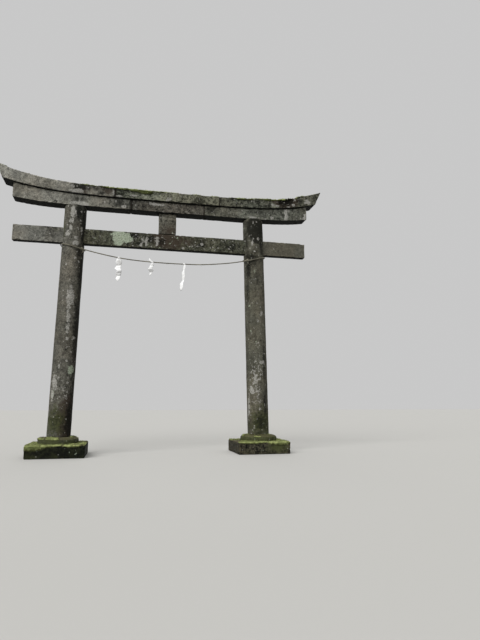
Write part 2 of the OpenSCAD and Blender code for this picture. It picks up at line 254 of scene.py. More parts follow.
# Each stone's marks by their kind, as (x, z, width, height) or with a strength as well
MARKS = {
    "top_lintel_left": {
        "light": [
            (-1.9, 3.38, 0.5, 0.24), (-1.66, 3.34, 0.22, 0.14, 0.9),
            (-1.136, 3.224, 0.12, 0.05, 0.8), (-1.27, 3.27, 0.14, 0.1, 1.1),
        ],
        "pale": [
            (-1.135, 3.222, 0.125, 0.042, 1.4), (-1.191, 3.275, 0.05, 0.041),
            (-0.695, 3.236, 0.026, 0.053),
        ],
        "black": [
            (-0.92, 3.275, 0.5, 0.08, 0.75), (-1.11, 3.28, 0.16, 0.08, 1.4),
            (-0.84, 3.215, 0.14, 0.06, 0.8), (-0.678, 3.24, 0.028, 0.36, 1.5),
        ],
        "brown": [
            (-0.99, 3.24, 0.24, 0.09, 0.7), (-1.07, 3.24, 0.16, 0.1, 1.1),
            (-0.76, 3.255, 0.12, 0.1),
        ],
        "moss": [(-0.97, 3.304, 0.3, 0.024, 0.85), (-0.76, 3.298, 0.2, 0.028, 1.1)],
    },
    "top_lintel_centre": {
        "light": [
            (-0.134, 3.214, 0.53, 0.12, 0.95), (0.07, 3.21, 0.26, 0.17, 1.5),
            (0.271, 3.223, 0.1, 0.11), (0.568, 3.208, 0.17, 0.13, 1.1),
        ],
        "pale": [
            (-0.625, 3.198, 0.08, 0.026), (-0.44, 3.22, 0.1, 0.022),
            (-0.01, 3.205, 0.1, 0.06, 0.75),
        ],
        "black": [
            (-0.5, 3.275, 0.34, 0.06, 0.9), (-0.6, 3.23, 0.16, 0.14, 0.8),
            (-0.28, 3.262, 0.36, 0.05, 0.8), (-0.35, 3.22, 0.08, 0.1, 0.5),
            (0.41, 3.22, 0.17, 0.151, 0.75), (0.175, 3.235, 0.04, 0.137, 0.7),
            (0.662, 3.24, 0.022, 0.3, 0.85), (-0.662, 3.24, 0.024, 0.36, 1.5),
        ],
        "moss": [
            (-0.58, 3.294, 0.2, 0.03, 1.1), (-0.43, 3.288, 0.16, 0.04),
            (-0.3, 3.282, 0.19, 0.056, 1.2), (-0.12, 3.293, 0.18, 0.022, 0.8),
            (0.3, 3.3, 0.5, 0.01, 0.6),
        ],
    },
    "top_lintel_right": {
        "light": [
            (0.784, 3.178, 0.189, 0.1, 0.6), (0.981, 3.185, 0.096, 0.077, 0.7),
            (1.125, 3.193, 0.138, 0.056, 0.7), (1.425, 3.251, 0.1, 0.064),
            (1.88, 3.36, 0.24, 0.18, 0.6),
        ],
        "pale": [
            (1.896, 3.342, 0.075, 0.066, 0.95), (1.872, 3.325, 0.05, 0.035, 0.8),
            (1.706, 3.345, 0.04, 0.045, 0.8), (1.69, 3.285, 0.06, 0.05, 0.8),
            (1.63, 3.25, 0.075, 0.026, 0.8), (1.46, 3.25, 0.06, 0.028, 0.9),
            (1.4, 3.255, 0.06, 0.04, 0.8),
        ],
        # The black and brown marks over the broken patch near x 1.5 to 1.6 paint the shade in its
        # recess as well as its dark brown stain
        "black": [
            (2.03, 3.4, 0.2, 0.16, 0.6), (0.677, 3.24, 0.02, 0.24, 0.8),
            (0.895, 3.225, 0.024, 0.17), (1.203, 3.257, 0.02, 0.113, 0.8),
            (1.352, 3.277, 0.024, 0.1, 0.8), (0.976, 3.286, 0.549, 0.042, 0.8),
            (1.57, 3.318, 0.17, 0.11, 1.5), (1.5, 3.334, 0.16, 0.05),
            (1.79, 3.335, 0.11, 0.09, 0.9),
        ],
        "brown": [(1.58, 3.32, 0.26, 0.13, 1.9), (1.46, 3.335, 0.26, 0.06, 1.5)],
        "moss": [
            (0.95, 3.303, 0.26, 0.028, 1.1), (1.17, 3.312, 0.14, 0.016, 0.6),
            (1.31, 3.326, 0.18, 0.038, 1.2), (1.54, 3.362, 0.24, 0.022, 0.65),
        ],
    },
    "lower_lintel_left": {
        "light": [(-1.45, 3.12, 0.5, 0.18, 1.2), (-0.86, 3.12, 0.2, 0.15, 0.8)],
        "pale": [
            (-1.095, 3.07, 0.165, 0.055, 1.5), (-0.565, 3.081, 0.062, 0.04),
            (-0.663, 3.145, 0.018, 0.027), (-0.798, 3.12, 0.018, 0.026),
        ],
        "black": [
            (-1.12, 3.13, 0.3, 0.09, 0.75), (-0.63, 3.12, 0.3, 0.17, 0.8),
            (-0.915, 3.103, 0.121, 0.07, 0.4), (-0.675, 3.124, 0.02, 0.093),
            (-0.52, 3.12, 0.14, 0.2, 0.75), (-0.478, 3.12, 0.028, 0.36, 1.5),
            (-1.373, 3.072, 0.018, 0.032),
        ],
    },
    "lower_lintel_centre": {
        "light": [(0.05, 3.12, 0.26, 0.17, 1.4), (0.3, 3.11, 0.16, 0.12, 0.7)],
        "pale": [(-0.157, 3.145, 0.229, 0.04, 0.9)],
        "black": [
            (-0.462, 3.12, 0.024, 0.36, 1.5), (0.463, 3.12, 0.02, 0.3, 0.6),
            (-0.34, 3.13, 0.24, 0.14, 0.35), (0.355, 3.153, 0.092, 0.08, 0.4),
            (0.165, 3.123, 0.026, 0.164, 0.6),
        ],
    },
    "lower_lintel_right": {
        "light": [(0.724, 3.157, 0.459, 0.139, 0.8), (1.734, 3.18, 0.245, 0.18, 0.55)],
        "pale": [
            (1.592, 3.19, 0.05, 0.08), (1.598, 3.115, 0.055, 0.09), (1.833, 3.11, 0.1, 0.03, 0.9),
            (1.866, 3.146, 0.036, 0.09, 0.9), (1.119, 3.075, 0.166, 0.045, 0.85),
            (1.39, 3.09, 0.05, 0.045), (1.305, 3.065, 0.03, 0.02),
        ],
        "black": [
            (0.477, 3.12, 0.02, 0.3, 0.75), (0.57, 3.14, 0.16, 0.16, 0.9),
            (1.53, 3.16, 0.08, 0.12, 0.6), (1.24, 3.15, 0.26, 0.09, 0.5),
            (1.47, 3.09, 0.22, 0.07, 0.5),
        ],
    },
    "tie_beam_centre": {
        "light": [(-0.8, 2.67, 0.18, 0.14, 0.8), (0.6, 2.66, 0.1, 0.14, 1.3)],
        "pale": [
            (-0.306, 2.678, 0.42, 0.2, 0.52), (-0.33, 2.6, 0.04, 0.06),
            (-0.265, 2.65, 0.04, 0.15, 0.9), (-0.13, 2.67, 0.05, 0.15, 0.85),
            (0.336, 2.643, 0.314, 0.176, 0.45), (0.45, 2.665, 0.05, 0.035),
            (0.205, 2.6, 0.035, 0.03),
        ],
        "lichen": [
            (-0.603, 2.68, 0.17, 0.189, 1.1), (-0.664, 2.732, 0.061, 0.066),
            (-0.515, 2.678, 0.13, 0.15),
        ],
        "black": [
            (-0.409, 2.721, 0.1, 0.07, 1.2), (-0.36, 2.62, 0.1, 0.06, 0.9),
            (-0.213, 2.685, 0.114, 0.093), (-0.9, 2.69, 0.2, 0.11, 0.35),
            (0.81, 2.664, 0.38, 0.164, 0.6), (0.45, 2.66, 0.1, 0.14, 0.9),
            (0.835, 2.66, 0.18, 0.12, 0.9), (-0.09, 2.66, 0.16, 0.14, 0.85),
        ],
        "brown": [(0.005, 2.69, 0.34, 0.22, 1.4), (0.256, 2.691, 0.235, 0.149, 0.8)],
    },
    "tie_beam_end_left": {
        "black": [(-1.43, 2.77, 0.34, 0.44, 0.75)],
        "green": [(-1.385, 2.735, 0.16, 0.09, 0.5)],
    },
    "tie_beam_end_right": {
        "green": [(1.45, 2.64, 0.22, 0.14, 0.25)],
    },
    "centre_strut": {
        "black": [(0.09, 2.92, 0.08, 0.26, 0.6)],
        "brown": [(0.04, 2.82, 0.22, 0.16, 0.8)],
    },
    "pillar_left": {
        "light": [
            (-1.2, 2.22, 0.17, 0.74, 1.1), (-1.22, 1.95, 0.1, 0.3, 0.9),
            (-1.24, 1.18, 0.12, 0.5, 0.8),
        ],
        "pale": [
            (-1.165, 2.95, 0.07, 0.13), (-1.18, 2.832, 0.055, 0.065), (-1.19, 2.747, 0.04, 0.065),
            (-1.215, 2.667, 0.06, 0.07), (-1.12, 2.618, 0.04, 0.04),
            (-1.125, 2.555, 0.085, 0.075, 0.9), (-1.068, 2.96, 0.03, 0.035, 0.9),
            (-1.07, 2.85, 0.03, 0.035, 0.9), (-1.058, 2.73, 0.025, 0.11, 0.8),
            (-1.15, 1.87, 0.08, 0.22, 1.1), (-1.12, 2.366, 0.025, 0.03),
            (-1.076, 2.327, 0.02, 0.035), (-1.22, 2.277, 0.025, 0.025), (-1.17, 1.812, 0.04, 0.05),
            (-1.163, 1.6, 0.055, 0.72, 0.68), (-1.157, 1.63, 0.05, 0.13, 0.9),
            (-1.165, 1.5, 0.04, 0.045, 0.9), (-1.162, 1.372, 0.045, 0.06, 0.9),
            (-1.086, 1.387, 0.03, 0.04), (-1.107, 1.211, 0.022, 0.022),
            (-1.152, 1.105, 0.025, 0.028), (-1.237, 1.04, 0.02, 0.06),
            (-1.128, 0.848, 0.022, 0.026), (-1.17, 0.75, 0.16, 0.5, 0.5),
            (-1.275, 0.85, 0.085, 0.24, 0.8), (-1.3, 0.72, 0.05, 0.22, 0.75),
        ],
        "lichen": [(-1.108, 1.002, 0.07, 0.12, 0.85), (-1.29, 0.72, 0.04, 0.2, 0.7)],
        # The tall narrow black marks along the pillar's right side, near x -1.04 to -1.08, paint
        # the shade of that side as well as its dark streaks
        "black": [
            (-1.035, 2.78, 0.07, 0.6, 1.1), (-1.17, 2.8, 0.16, 0.5, 0.45),
            (-1.035, 2.22, 0.09, 0.72), (-1.075, 2.42, 0.06, 0.2, 0.9),
            (-1.05, 1.45, 0.09, 0.9, 1.2), (-1.065, 0.8, 0.1, 1.0, 0.8),
            (-1.1, 2.96, 0.09, 0.2, 1.2), (-1.24, 0.4, 0.2, 0.36, 0.6),
            (-1.1, 0.33, 0.16, 0.22, 0.9), (-1.065, 0.42, 0.11, 0.36, 1.5),
        ],
        "brown": [(-1.11, 0.42, 0.18, 0.46, 1.5)],
        "green": [(-1.275, 2.8, 0.05, 0.5, 0.6), (-1.26, 0.4, 0.26, 0.32, 0.9)],
    },
    "pillar_right": {
        "light": [
            (1.115, 2.72, 0.12, 0.16, 0.6), (1.235, 2.3, 0.06, 0.2, 0.9),
            (1.21, 1.9, 0.1, 1.0, 1.1), (1.1, 0.75, 0.14, 0.5, 1.1), (1.25, 0.86, 0.08, 0.16, 0.9),
        ],
        "pale": [
            (1.122, 2.99, 0.018, 0.05, 0.9), (1.17, 3.0, 0.025, 0.02, 0.9),
            (1.072, 2.8, 0.04, 0.05, 0.7), (1.105, 2.71, 0.08, 0.16, 0.65),
            (1.14, 2.592, 0.035, 0.03, 0.8), (1.187, 2.765, 0.06, 0.04, 0.7),
            (1.18, 1.664, 0.03, 0.03), (1.23, 1.76, 0.035, 0.06), (1.235, 1.126, 0.08, 0.05),
            (1.21, 0.968, 0.03, 0.035), (1.104, 0.77, 0.045, 0.1), (1.076, 0.567, 0.02, 0.3, 0.9),
            (1.198, 0.543, 0.02, 0.04), (1.16, 0.9, 0.2, 0.8, 0.58),
        ],
        # The narrow black marks along the pillar's right side, near x 1.23 to 1.28, paint the shade
        # of that side as well as its dark streaks
        "black": [
            (1.165, 2.9, 0.15, 0.26, 2.8), (1.16, 2.98, 0.22, 0.12, 1.4),
            (1.04, 2.76, 0.07, 0.5, 0.7), (1.235, 2.72, 0.07, 0.4, 0.9),
            (1.15, 2.62, 0.2, 0.3, 0.5), (1.1, 2.49, 0.2, 0.22, 0.95), (1.065, 2.335, 0.06, 0.3),
            (1.16, 2.2, 0.22, 0.5, 0.55), (1.06, 2.08, 0.05, 0.5, 0.7),
            (1.265, 1.1, 0.05, 0.6, 0.8), (1.17, 0.53, 0.08, 0.12, 0.5),
            (1.275, 0.58, 0.05, 0.4, 0.9), (1.25, 0.4, 0.16, 0.36, 0.6),
            (1.21, 0.37, 0.18, 0.3, 0.85),
        ],
        "brown": [(1.1, 0.42, 0.12, 0.24, 0.5)],
        "green": [(1.22, 0.38, 0.28, 0.34)],
    },
    "pillar_seat_left": {
        "black": [(-1.21, 0.19, 0.5, 0.06, 0.5)],
    },
    "base_slab_left": {
        # The black mark along the front is partly painted shade, over damp stone
        "black": [(-1.16, 0.06, 0.7, 0.14, 0.8)],
        "moss": [
            (-1.46, 0.135, 0.26, 0.09, 1.1), (-1.3, 0.145, 0.2, 0.05),
            (-1.02, 0.145, 0.26, 0.05, 0.9),
        ],
    },
    "base_slab_right": {
        "green": [(1.38, 0.08, 0.28, 0.14, 0.9)],
        "moss": [(1.05, 0.145, 0.3, 0.045), (1.4, 0.14, 0.3, 0.07)],
    },
}


class Damage(NamedTuple):
    """Stone that has broken away: centre, radii in X, Y and Z, and depth"""

    centre: tuple
    radii: tuple
    depth: float


DAMAGES = {
    "top_lintel_right": [
        Damage((1.60, -0.14, 3.318), (0.115, 0.09, 0.066), 0.030),
        Damage((1.49, -0.15, 3.338), (0.15, 0.09, 0.040), 0.022),
        Damage((1.66, -0.155, 3.385), (0.20, 0.05, 0.024), 0.016),
    ],
    "lower_lintel_left": [
        Damage((-1.710, -0.092, 3.226), (0.011, 0.02, 0.011), 0.009),
        Damage((-1.709, -0.092, 3.188), (0.010, 0.02, 0.010), 0.009),
    ],
    "tie_beam_end_right": [Damage((1.84, -0.045, 2.765), (0.04, 0.05, 0.02), 0.008)],
}


class Relief(NamedTuple):
    """Noise over a stone: bumps in a metre, its octaves, and what sets its seed apart"""

    scale: float
    octaves: int
    seed: int


HOLLOWS = Relief(5.0, 3, 0)
TOOLING = Relief(60.0, 3, 1)
CHIPS = Relief(21.0, 3, 2)
BROKEN_FACE = Relief(45.0, 4, 3)
MOSS_BEDS = Relief(7.0, 4, 4)
MOSS_LUMPS = Relief(45.0, 3, 5)

# An edge whose faces turn by more than this is an arris
ARRIS_ANGLE = math.radians(25)
# Stone nearer than this to an arris is fully worn
ARRIS_CORE = 0.004
# CAD corners nearer than this are one corner
ONE_CORNER = 0.00005
# CAD corners nearer than this along X lie on one end face
ONE_FACE = 0.0005
# How far the earth reaches across a joint, in joint widths
EARTH_REACH = 1.8


class Rib(NamedTuple):
    """A line across a streamer from its left to its right edge. X and drop are measured from
    the rope's centre where it hangs, and forward is towards the front. The paper is folded
    along a crease.
    """

    left: float
    left_drop: float
    left_forward: float
    right: float
    right_drop: float
    right_forward: float
    crease: bool = False


class Streamer(NamedTuple):
    """A folded paper streamer: its hanging point, the paper's width and length, and its ribs"""

    hang: Vector
    flat: tuple
    ribs: list


LEFT_HANG = Vector((-0.600, -0.148, 2.389))
MIDDLE_HANG = Vector((-0.200, -0.148, 2.359))
RIGHT_HANG = Vector((0.200, -0.148, 2.356))

# The rope's route, which is the one of the straw_rope node
ROPE_ROUTE = [
    (-1.045, -0.115, 2.484), (-1.021, -0.045, 2.494), (-1.021, 0.045, 2.506),
    (-1.074, 0.118, 2.517), (-1.160, 0.146, 2.526), (-1.246, 0.118, 2.537),
    (-1.299, 0.045, 2.546), (-1.299, -0.045, 2.545), (-1.246, -0.118, 2.529),
    (-1.160, -0.146, 2.506), (-1.060, -0.147, 2.480), (-0.960, -0.148, 2.455),
    (-0.800, -0.148, 2.422), LEFT_HANG, (-0.400, -0.148, 2.369), MIDDLE_HANG,
    (0.000, -0.148, 2.355), RIGHT_HANG, (0.400, -0.148, 2.361), (0.600, -0.148, 2.379),
    (0.800, -0.148, 2.406), (0.960, -0.148, 2.436), (1.060, -0.147, 2.459),
    (1.160, -0.146, 2.486), (1.246, -0.118, 2.513), (1.299, -0.045, 2.535),
    (1.299, 0.045, 2.540), (1.246, 0.118, 2.533), (1.160, 0.146, 2.523),
    (1.074, 0.118, 2.512), (1.021, 0.045, 2.498), (1.021, -0.045, 2.482),
    (1.045, -0.115, 2.470),
]

STREAMERS = {
    "paper_streamer_left": Streamer(LEFT_HANG, (0.070, 0.31), [
        Rib(-0.009, -0.014, 0.004, 0.009, -0.014, 0.004),
        Rib(-0.009, 0.000, 0.010, 0.009, 0.000, 0.010),
        Rib(-0.020, 0.014, 0.006, 0.029, 0.018, 0.002),
        Rib(-0.036, 0.056, 0.006, 0.042, 0.052, -0.004),
        Rib(-0.019, 0.099, -0.014, 0.033, 0.090, -0.018, True),
        Rib(-0.048, 0.138, 0.002, 0.028, 0.130, 0.000),
        Rib(-0.011, 0.169, 0.018, 0.038, 0.160, 0.012, True),
        Rib(-0.030, 0.196, 0.004, 0.038, 0.188, -0.004),
        Rib(-0.015, 0.232, -0.014, 0.030, 0.226, -0.018, True),
        Rib(-0.030, 0.264, 0.002, 0.025, 0.255, 0.000),
        Rib(-0.006, 0.299, 0.016, 0.004, 0.299, 0.014),
    ]),
    "paper_streamer_middle": Streamer(MIDDLE_HANG, (0.040, 0.19), [
        Rib(-0.032, -0.040, 0.000, -0.022, -0.046, 0.000),
        Rib(-0.026, -0.012, 0.004, 0.004, -0.014, 0.004),
        Rib(-0.004, 0.000, 0.010, 0.022, 0.000, 0.010),
        Rib(0.003, 0.010, 0.008, 0.032, 0.012, 0.004),
        Rib(-0.014, 0.050, 0.006, 0.030, 0.048, 0.000),
        Rib(-0.039, 0.098, 0.018, 0.005, 0.085, 0.012, True),
        Rib(-0.031, 0.111, 0.006, 0.029, 0.104, -0.004),
        Rib(-0.014, 0.130, -0.012, 0.018, 0.127, -0.016, True),
        Rib(-0.021, 0.174, 0.006, -0.003, 0.168, 0.004),
    ]),
    "paper_streamer_right": Streamer(RIGHT_HANG, (0.050, 0.36), [
        Rib(-0.002, -0.012, 0.004, 0.014, -0.012, 0.004),
        Rib(0.000, 0.000, 0.008, 0.018, 0.000, 0.012),
        Rib(0.000, 0.012, -0.014, 0.026, 0.010, 0.016),
        Rib(-0.001, 0.050, -0.020, 0.026, 0.046, 0.020),
        Rib(0.001, 0.078, -0.010, 0.015, 0.076, 0.010, True),
        Rib(-0.015, 0.110, -0.022, 0.014, 0.108, 0.022),
        Rib(-0.012, 0.157, -0.016, 0.020, 0.155, 0.024, True),
        Rib(-0.007, 0.213, -0.014, 0.014, 0.215, 0.006, True),
        Rib(-0.038, 0.256, -0.024, 0.002, 0.238, 0.018),
        Rib(-0.036, 0.300, -0.014, -0.002, 0.296, 0.024),
        Rib(-0.034, 0.344, -0.016, -0.010, 0.340, 0.008),
    ]),
}

# Spacing of the points along the rope
ROPE_STEP = 0.006
# The three strands, as shares of the rope's diameter
STRAND_OFFSET = 0.27
STRAND_RADIUS = 0.235
# The thinner rope of the knots, as a share of the rope's diameter
KNOT_ROPE = 0.8
KNOT_TURNS = 2.5
STRAW_RADIUS = 0.0006

# Stones that each bed of moss grows on
MOSS_PIECES = {
    "moss_on_lintel": ("top_lintel_left", "top_lintel_centre", "top_lintel_right"),
    "moss_on_left_footing": ("base_slab_left", "pillar_seat_left"),
    "moss_on_right_footing": ("base_slab_right", "pillar_seat_right"),
}
# Moss stands up from the skin where there is more of it than this
THICK_MOSS = 0.45
# Room that a cushion or a sprig needs inside the CAD box
MOSS_ROOM = 0.016
# Cushions of this many shapes grow in a bed
CUSHION_SHAPES = 5

ROPE_SEED = 11
MOSS_SEED = 30

# Where the key light and the back light shine
KEY_DIRECTION = (0.62, 0.85, -0.70)
BACK_DIRECTION = (-0.1, -1.0, -0.25)


def new_object(name, data):
    """Object at the origin, linked to the scene"""
    made = bpy.data.objects.new(name, data)
    bpy.context.scene.collection.objects.link(made)
    return made


def bmesh_data(name, built):
    """Smooth-shaded mesh of a finished bmesh, which is freed"""
    mesh = bpy.data.meshes.new(name)
    built.to_mesh(mesh)
    built.free()
    mesh.shade_smooth()
    return mesh


def mesh_piece(name, built):
    """Object of a finished bmesh"""
    return new_object(name, bmesh_data(name, built))


def evaluated_mesh(made):
    """New mesh of an object with its modifiers, or of a curve with its thickness"""
    graph = bpy.context.evaluated_depsgraph_get()
    return bpy.data.meshes.new_from_object(made.evaluated_get(graph))


def apply_modifiers(piece):
    """Puts the result of a piece's modifiers in its mesh"""
    mesh = evaluated_mesh(piece)
    old = piece.data
    piece.modifiers.clear()
    piece.data = mesh
    bpy.data.meshes.remove(old)


def store(mesh, name, values):
    """Keeps one number for each vertex, for the material to read"""
    mesh.attributes.new(name, "FLOAT", "POINT").data.foreach_set("value", values)


def finish_piece(piece, material, slot, *nodes):
    """Gives a piece its material, and lets it ride on the gate and stand for its CAD nodes"""
    piece.data.materials.clear()
    piece.data.materials.append(material)
    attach(piece, BODY)
    if nodes:
        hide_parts(*nodes)


class NodeBuilder:
    """Adds nodes to a shader tree and joins them as it goes"""

    def __init__(self, tree):
        self.tree = tree
        tree.nodes.clear()

    def put(self, socket, value):
        """Joins a socket to another one, or gives it a number, a vector or a colour"""
        if isinstance(value, bpy.types.NodeSocket):
            self.tree.links.new(value, socket)
        elif socket.type == "RGBA":
            socket.default_value = (*value, 1)
        else:
            socket.default_value = value

    def add(self, kind, inputs=(), **settings):
        """New node with its settings and inputs"""
        node = self.tree.nodes.new(kind)
        for key, value in settings.items():
            setattr(node, key, value)
        for key, value in dict(inputs).items():
            self.put(node.inputs[key], value)
        return node

    def maths(self, operation, a, b):
        """Result of an operation on two numbers"""
        return self.add("ShaderNodeMath", {0: a, 1: b}, operation=operation).outputs[0]

    def plus(self, a, b):
        """Sum of two numbers"""
        return self.maths("ADD", a, b)

    def times(self, product, *others):
        """Product of numbers"""
        for other in others:
            product = self.maths("MULTIPLY", product, other)
        return product

    def swing(self, value, middle, width):
        """How far a value lies above its middle, times a width"""
        return self.times(self.maths("SUBTRACT", value, middle), width)

    def step(self, value, low, high, start=0.0, end=1.0):
        """Smooth step from start to end, of a value between low and high"""
        node = self.add(
            "ShaderNodeMapRange", {0: value, 1: low, 2: high, 3: start, 4: end},
            interpolation_type="SMOOTHSTEP",
        )
        return node.outputs[0]

    def placed_mask(self, placed, wobble, low, high, faded):
        """Mask of what is placed by an attribute, with an edge that wobbles"""
        mask = self.step(self.plus(placed, wobble), low, high)
        return self.times(mask, self.step(placed, 0.02, faded))

    def vector_maths(self, operation, a, b):
        """Result of an operation on two vectors"""
        return self.add("ShaderNodeVectorMath", {0: a, 1: b}, operation=operation).outputs[0]

    def mix(self, factor, a, b, blend="MIX"):
        """Colour a, covered by colour b as far as the factor says"""
        node = self.add(
            "ShaderNodeMix", {0: factor, 6: a, 7: b}, data_type="RGBA", blend_type=blend
        )
        return node.outputs[2]

    def tinted(self, colour, tint, factor=1.0):
        """Colour times a tint"""
        return self.mix(factor, colour, tint, "MULTIPLY")

    def grey(self, value):
        """Colour with the same value in each channel"""
        return self.add("ShaderNodeCombineColor", {i: value for i in range(3)}).outputs[0]

    def channels(self, colour):
        """Red, green and blue of a colour"""
        return self.add("ShaderNodeSeparateColor", {0: colour}).outputs

    def noise(self, place, scale, detail=4.0, roughness=0.55):
        """Smooth noise, from about 0.3 to 0.7"""
        node = self.add("ShaderNodeTexNoise", {
            "Vector": place, "Scale": scale, "Detail": detail, "Roughness": roughness,
        })
        return node.outputs[0]

    def object_place(self):
        """Place on the gate, in metres"""
        return self.add("ShaderNodeTexCoord").outputs["Object"]

    def facing_up(self):
        """How far the surface faces up: 1 for a level top, -1 for a level underside"""
        normal = self.add("ShaderNodeNewGeometry").outputs["Normal"]
        return self.add("ShaderNodeSeparateXYZ", {0: normal}).outputs["Z"]

    def attribute(self, name):
        """Number that is stored on the mesh"""
        return self.add("ShaderNodeAttribute", attribute_name=name).outputs["Fac"]

    def group(self, name, inputs):
        """Outputs of a shared shader group"""
        return self.add("ShaderNodeGroup", inputs, node_tree=shader_group(name)).outputs

    def surface(self, colour, roughness, specular, height, depth, strength=1.0):
        """Principled shader with bumps of a depth, joined to the material's output"""
        bump = self.add("ShaderNodeBump", {
            "Height": height, "Distance": depth, "Strength": strength,
        })
        shader = self.add("ShaderNodeBsdfPrincipled", {
            "Base Color": colour, "Roughness": roughness, "Specular IOR Level": specular,
            "Normal": bump.outputs[0],
        })
        self.add("ShaderNodeOutputMaterial", {"Surface": shader.outputs[0]})


def granite(build, given):
    """Clean granite: wide clouds, mottling and a fine grain of dark and light crystals"""
    place = given["Vector"]
    warmth = build.step(build.noise(place, scale=2.3, detail=3), 0.35, 0.65)
    warmth = build.mix(warmth, (1.03, 1.00, 0.95), (0.97, 1.00, 1.00))
    clouds = build.noise(place, scale=6.0, detail=5, roughness=0.6)
    blotches = build.noise(place, scale=27.0, detail=7, roughness=0.68)
    freckles = build.noise(place, scale=85.0, detail=4, roughness=0.65)
    pits = build.noise(place, scale=150.0, detail=4, roughness=0.7)
    mottling = build.plus(
        build.step(blotches, 0.36, 0.64, -0.42, 0.42),
        build.step(freckles, 0.36, 0.64, -0.44, 0.44),
    )
    crystals = build.add("ShaderNodeTexVoronoi", {"Vector": place, "Scale": 290.0})
    crystal = build.channels(crystals.outputs["Color"])[0]
    gain = build.times(
        build.step(clouds, 0.28, 0.72, 0.77, 1.25),
        build.plus(1.0, build.times(mottling, given["Mottle"])),
        build.step(crystal, 0.10, 0.20, 0.62, 1.0),
        build.step(crystal, 0.80, 0.92, 1.0, 1.38),
    )
    return {
        "Color": build.tinted(build.tinted(given["Tone"], warmth), build.grey(gain)),
        "Height": build.plus(build.step(pits, 0.30, 0.60), blotches),
    }


def crust(build, given):
    """Crisp-edged crust in lobed patches: where it is placed, and by chance elsewhere"""
    place = given["Vector"]
    lobes = build.noise(place, given["Scale"], detail=7, roughness=0.66)
    fine = build.noise(place, scale=95.0, detail=5, roughness=0.7)
    shades = build.noise(place, scale=48.0, detail=5, roughness=0.7)
    edge = build.plus(lobes, build.times(fine, 0.35))
    by_chance = build.step(build.plus(edge, given["Cover"]), 0.86, 0.93)
    wobble = build.swing(edge, 0.675, 1.5)
    placed = build.placed_mask(given["Placed"], wobble, 0.46, 0.58, faded=0.12)
    worn_through = build.step(fine, 0.36, 0.50)
    return {
        "Mask": build.times(build.maths("MAXIMUM", by_chance, placed), worn_through),
        "Shade": build.step(shades, 0.3, 0.7, 0.72, 1.22),
    }


def specks(build, given):
    """Small round growths, scattered one by one"""
    wobble = build.add("ShaderNodeTexNoise", {"Vector": given["Vector"], "Scale": 120.0})
    wobble = build.vector_maths("MULTIPLY", wobble.outputs["Color"], (0.008, 0.008, 0.008))
    cells = build.add("ShaderNodeTexVoronoi", {
        "Vector": build.vector_maths("ADD", given["Vector"], wobble), "Scale": given["Scale"],
    }).outputs
    chance = build.channels(cells["Color"])
    radius = build.step(chance[1], 0.1, 1.0, 0.13, 0.32)
    spot = build.step(cells["Distance"], radius, build.times(radius, 0.6))
    chosen = build.maths("LESS_THAN", chance[0], given["Cover"])
    return {"Mask": build.times(spot, chosen)}


def stain(build, given):
    """Soft-edged stain where it is placed, broken up by its own noise"""
    clouds = build.noise(given["Vector"], given["Scale"], detail=6, roughness=0.65)
    wobble = build.swing(clouds, 0.5, 1.3)
    return {"Mask": build.placed_mask(given["Placed"], wobble, 0.25, 0.85, faded=0.25)}


def run_off(build, given):
    """Upright streaks where rain runs down a face"""
    stretched = build.vector_maths("MULTIPLY", given["Vector"], (17.0, 17.0, 1.3))
    streaks = build.noise(stretched, scale=1.0, detail=5, roughness=0.6)
    gaps = build.noise(given["Vector"], scale=9.0, detail=5, roughness=0.6)
    return {"Mask": build.times(
        build.step(streaks, 0.50, 0.72), build.step(gaps, 0.35, 0.62), given["Strength"]
    )}


def moss(build, given):
    """Moss: dark between its shoots, and darker as painted shade where it faces sideways or down;
    pale green at its tips, dry where it is thin"""
    place = given["Vector"]
    shoots = build.noise(place, scale=210.0, detail=5, roughness=0.75)
    beds = build.noise(place, scale=19.0, detail=4, roughness=0.6)
    edge = build.noise(place, scale=70.0, detail=5, roughness=0.7)
    # Painted shade: the pale tips fade where the moss faces sideways or down
    tips = build.times(
        build.plus(build.step(shoots, 0.34, 0.68, 0, 0.62), build.step(beds, 0.3, 0.7, 0, 0.5)),
        build.step(given["Facing"], -0.35, 0.6, 0.12, 1.0),
    )
    thick = build.plus(given["Placed"], build.step(beds, 0.3, 0.7, -0.2, 0.2))
    fresh = build.mix(build.step(thick, 0.45, 0.80), given["Dry"], given["Tips"])
    wobble = build.swing(edge, 0.5, 1.2)
    return {
        "Mask": build.placed_mask(given["Placed"], wobble, 0.40, 0.55, faded=0.15),
        "Color": build.mix(tips, given["Shade"], fresh),
        "Height": shoots,
    }


VECTOR, FLOAT, COLOUR = "NodeSocketVector", "NodeSocketFloat", "NodeSocketColor"

# The function that makes each shared group, the group's inputs and its outputs
SHADER_GROUPS = {
    "Granite": (
        granite, {"Vector": VECTOR, "Tone": COLOUR, "Mottle": FLOAT},
        {"Color": COLOUR, "Height": FLOAT},
    ),
    "Crust": (
        crust, {"Vector": VECTOR, "Placed": FLOAT, "Cover": FLOAT, "Scale": FLOAT},
        {"Mask": FLOAT, "Shade": FLOAT},
    ),
    "Specks": (specks, {"Vector": VECTOR, "Cover": FLOAT, "Scale": FLOAT}, {"Mask": FLOAT}),
    "Stain": (stain, {"Vector": VECTOR, "Placed": FLOAT, "Scale": FLOAT}, {"Mask": FLOAT}),
    "Run-off": (run_off, {"Vector": VECTOR, "Strength": FLOAT}, {"Mask": FLOAT}),
    "Moss": (
        moss,
        {"Vector": VECTOR, "Placed": FLOAT, "Facing": FLOAT, "Shade": COLOUR, "Tips": COLOUR,
         "Dry": COLOUR},
        {"Mask": FLOAT, "Color": COLOUR, "Height": FLOAT},
    ),
}


